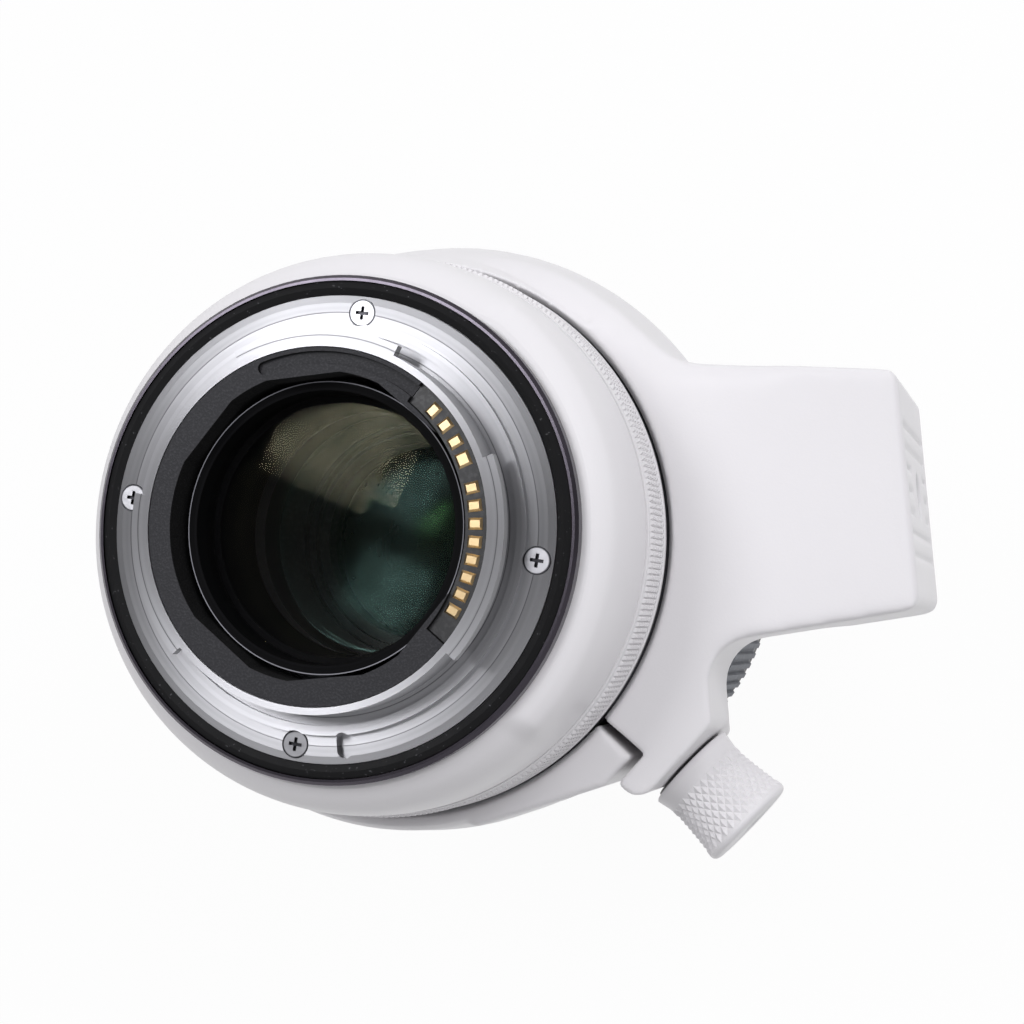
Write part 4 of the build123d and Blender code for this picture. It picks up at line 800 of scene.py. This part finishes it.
def collar_weights(points):
    """Most softening at the foot's root, and little in the bore, hinge, seam and clamp."""
    x, y, z = (points / mm).T
    angle = np.degrees(np.arctan2(y, x))
    from_seam = np.abs(angle - seam_angle)
    bore = ramp(np.hypot(x, y), *bore_ramp)
    hinge = ramp(np.abs(angle - hinge_angle), *hinge_ramp)
    seam = ramp(from_seam, *seam_ramp, seam_least)
    lug = 1 - lug_hold * ramp(-y, *lug_ramp) * (from_seam < lug_reach)
    sole = ramp(-x, *sole_ramp, sole_least)
    root = ramp(angle, *root_ramps["from"]) * ramp(-angle, *root_ramps["to"])
    root *= ramp(-x, *root_ramps["out"]) * ramp(z, *root_ramps["front"])
    return (plain_weight + root_weight * root) * bore * hinge * np.minimum(seam, lug) * sole


# A ridge carries the foot's rear face on around the collar and fades into its cone

ridge_full = [(40.15, -28.25), (45.0, -29.0), (46.3, -48.0), (40.6, -49.0)]
ridge_plain = [(40.6, -33.0), (42.6, -38.5), (45.6, -48.0), (40.6, -49.0)]
ridge_span = (12, 90)
ridge_step = 2
ridge_fade = 38.0


def make_ridge():
    """Points and faces of the ridge."""
    points, faces = [], []
    sides = len(ridge_full)
    angles = range(*ridge_span, ridge_step)
    for number, angle in enumerate(angles):
        share = smooth_step((angle - ridge_fade) / (ridge_span[1] - ridge_fade))
        for full, plain in zip(ridge_full, ridge_plain):
            radius, height = Vector(full).lerp(Vector(plain), share)
            turn = radians(angle)
            points.append(Vector((radius * cos(turn), radius * sin(turn), height)) * mm)
        if number:
            end = sides * number
            start = end - sides
            for side in range(sides):
                after = (side + 1) % sides
                faces.append((start + side, start + after, end + after, end + side))
    last = sides * (len(angles) - 1)
    return points, [*faces, tuple(range(sides))[::-1], tuple(range(last, last + sides))]


# Stage: floor, world and lamps

floor_drop = 0.2 * mm
floor_size = 6.0
floor_white = 0.96


def make_floor():
    """Pale floor that the camera sees as white, with a soft shadow."""
    low = cad_box[0][2] - floor_drop
    half = floor_size / 2
    corners = [(-half, -half, low), (half, -half, low), (half, half, low), (-half, half, low)]
    data = bpy.data.meshes.new("floor")
    data.from_pydata(corners, [], [(0, 1, 2, 3)])
    shader = Shader("floor")
    path = shader.tree.nodes.new("ShaderNodeLightPath")
    kinds = ("Camera", "Glossy", "Transmission")
    seen = [Value(shader, path.outputs[f"Is {kind} Ray"]) for kind in kinds]
    cloud = shader.noise(200 * mm, 2)
    tone = shader.mix(cloud, colour(0.8, 0.8, 0.8), colour(0.78, 0.78, 0.78))
    plain = shader.node("ShaderNodeBsdfDiffuse", inputs={"Color": tone})
    white = shader.node("ShaderNodeEmission", inputs={"Color": colour(1, 1, 1), "Strength": 1.0})
    total = seen[0] + seen[1] + seen[2]
    share = total.math("MINIMUM", total, 1) * floor_white
    both = shader.node("ShaderNodeMixShader", inputs={0: share, 1: plain, 2: white})
    shader.node("ShaderNodeOutputMaterial", inputs={"Surface": both})
    data.materials.append(shader.material)
    floor = bpy.data.objects.new("floor", data)
    bpy.context.scene.collection.objects.link(floor)


world_range = {"From Min": 0.05, "From Max": 0.4, "To Min": 0.24, "To Max": 0.50}
light_colour = (0.97, 0.97, 1.0)


def make_world():
    """Pale surroundings, brighter to the north and south than to the east and west."""
    world = bpy.data.worlds.new("world")
    world.use_nodes = True
    tree = world.node_tree
    coordinates = tree.nodes.new("ShaderNodeTexCoord")
    split = tree.nodes.new("ShaderNodeSeparateXYZ")
    size = tree.nodes.new("ShaderNodeMath")
    size.operation = "ABSOLUTE"
    share = tree.nodes.new("ShaderNodeMapRange")
    share.interpolation_type = "SMOOTHSTEP"
    for name, value in world_range.items():
        share.inputs[name].default_value = value
    back = tree.nodes["Background"]
    back.inputs["Color"].default_value = colour(*light_colour)
    tree.links.new(coordinates.outputs["Generated"], split.inputs[0])
    tree.links.new(split.outputs["Y"], size.inputs[0])
    tree.links.new(size.outputs[0], share.inputs["Value"])
    tree.links.new(share.outputs[0], back.inputs["Strength"])
    bpy.context.scene.world = world


def make_lamp(name, place, target, size, power, roll=0.0, glossy=True):
    """Rectangular soft lamp that faces a target, its long side turned from the camera's right."""
    data = bpy.data.lights.new(name, "AREA")
    data.shape = "RECTANGLE"
    data.size, data.size_y = size
    data.energy = power
    data.color = light_colour
    lamp = bpy.data.objects.new(name, data)
    lamp.visible_glossy = glossy
    bpy.context.scene.collection.objects.link(lamp)
    back = (Vector(place) - Vector(target)).normalized()
    right = camera_right * cos(radians(roll)) + camera_up * sin(radians(roll))
    upward = back.cross(right).normalized()
    turn = Matrix((upward.cross(back).normalized(), upward, back)).transposed()
    lamp.matrix_world = Matrix.Translation(place) @ turn.to_4x4()


make_camera()
finish_nodes()
make_rear_barrel()
make_control_ring()
make_knob()
make_lens("hollow_lens", "focus_glass", "focus_group", "teal_coating", -3.2 * mm, 1.4 * mm)
make_lens("round_lens", "stabiliser_glass", "stabiliser_cell", "green_coating", 2.0 * mm, 0.4 * mm)
soft_copy("collar_body", "soft_collar", "collar", collar_weights, make_ridge())
soft_copy("collar_jaw", "soft_jaw", "collar_jaw", collar_weights)
make_floor()
make_world()
make_lamp("key_lamp", place=(-0.24, 0.251, 0.66), target=(0, 0, 0), size=(0.31, 0.24),
          power=1.9, roll=-28)
make_lamp("side_lamp", place=(0.42, 0.3, 0.55), target=(0.05, 0, 0), size=(0.35, 0.4),
          power=3.2, glossy=False)

bpy.context.scene.view_settings.view_transform = "Standard"
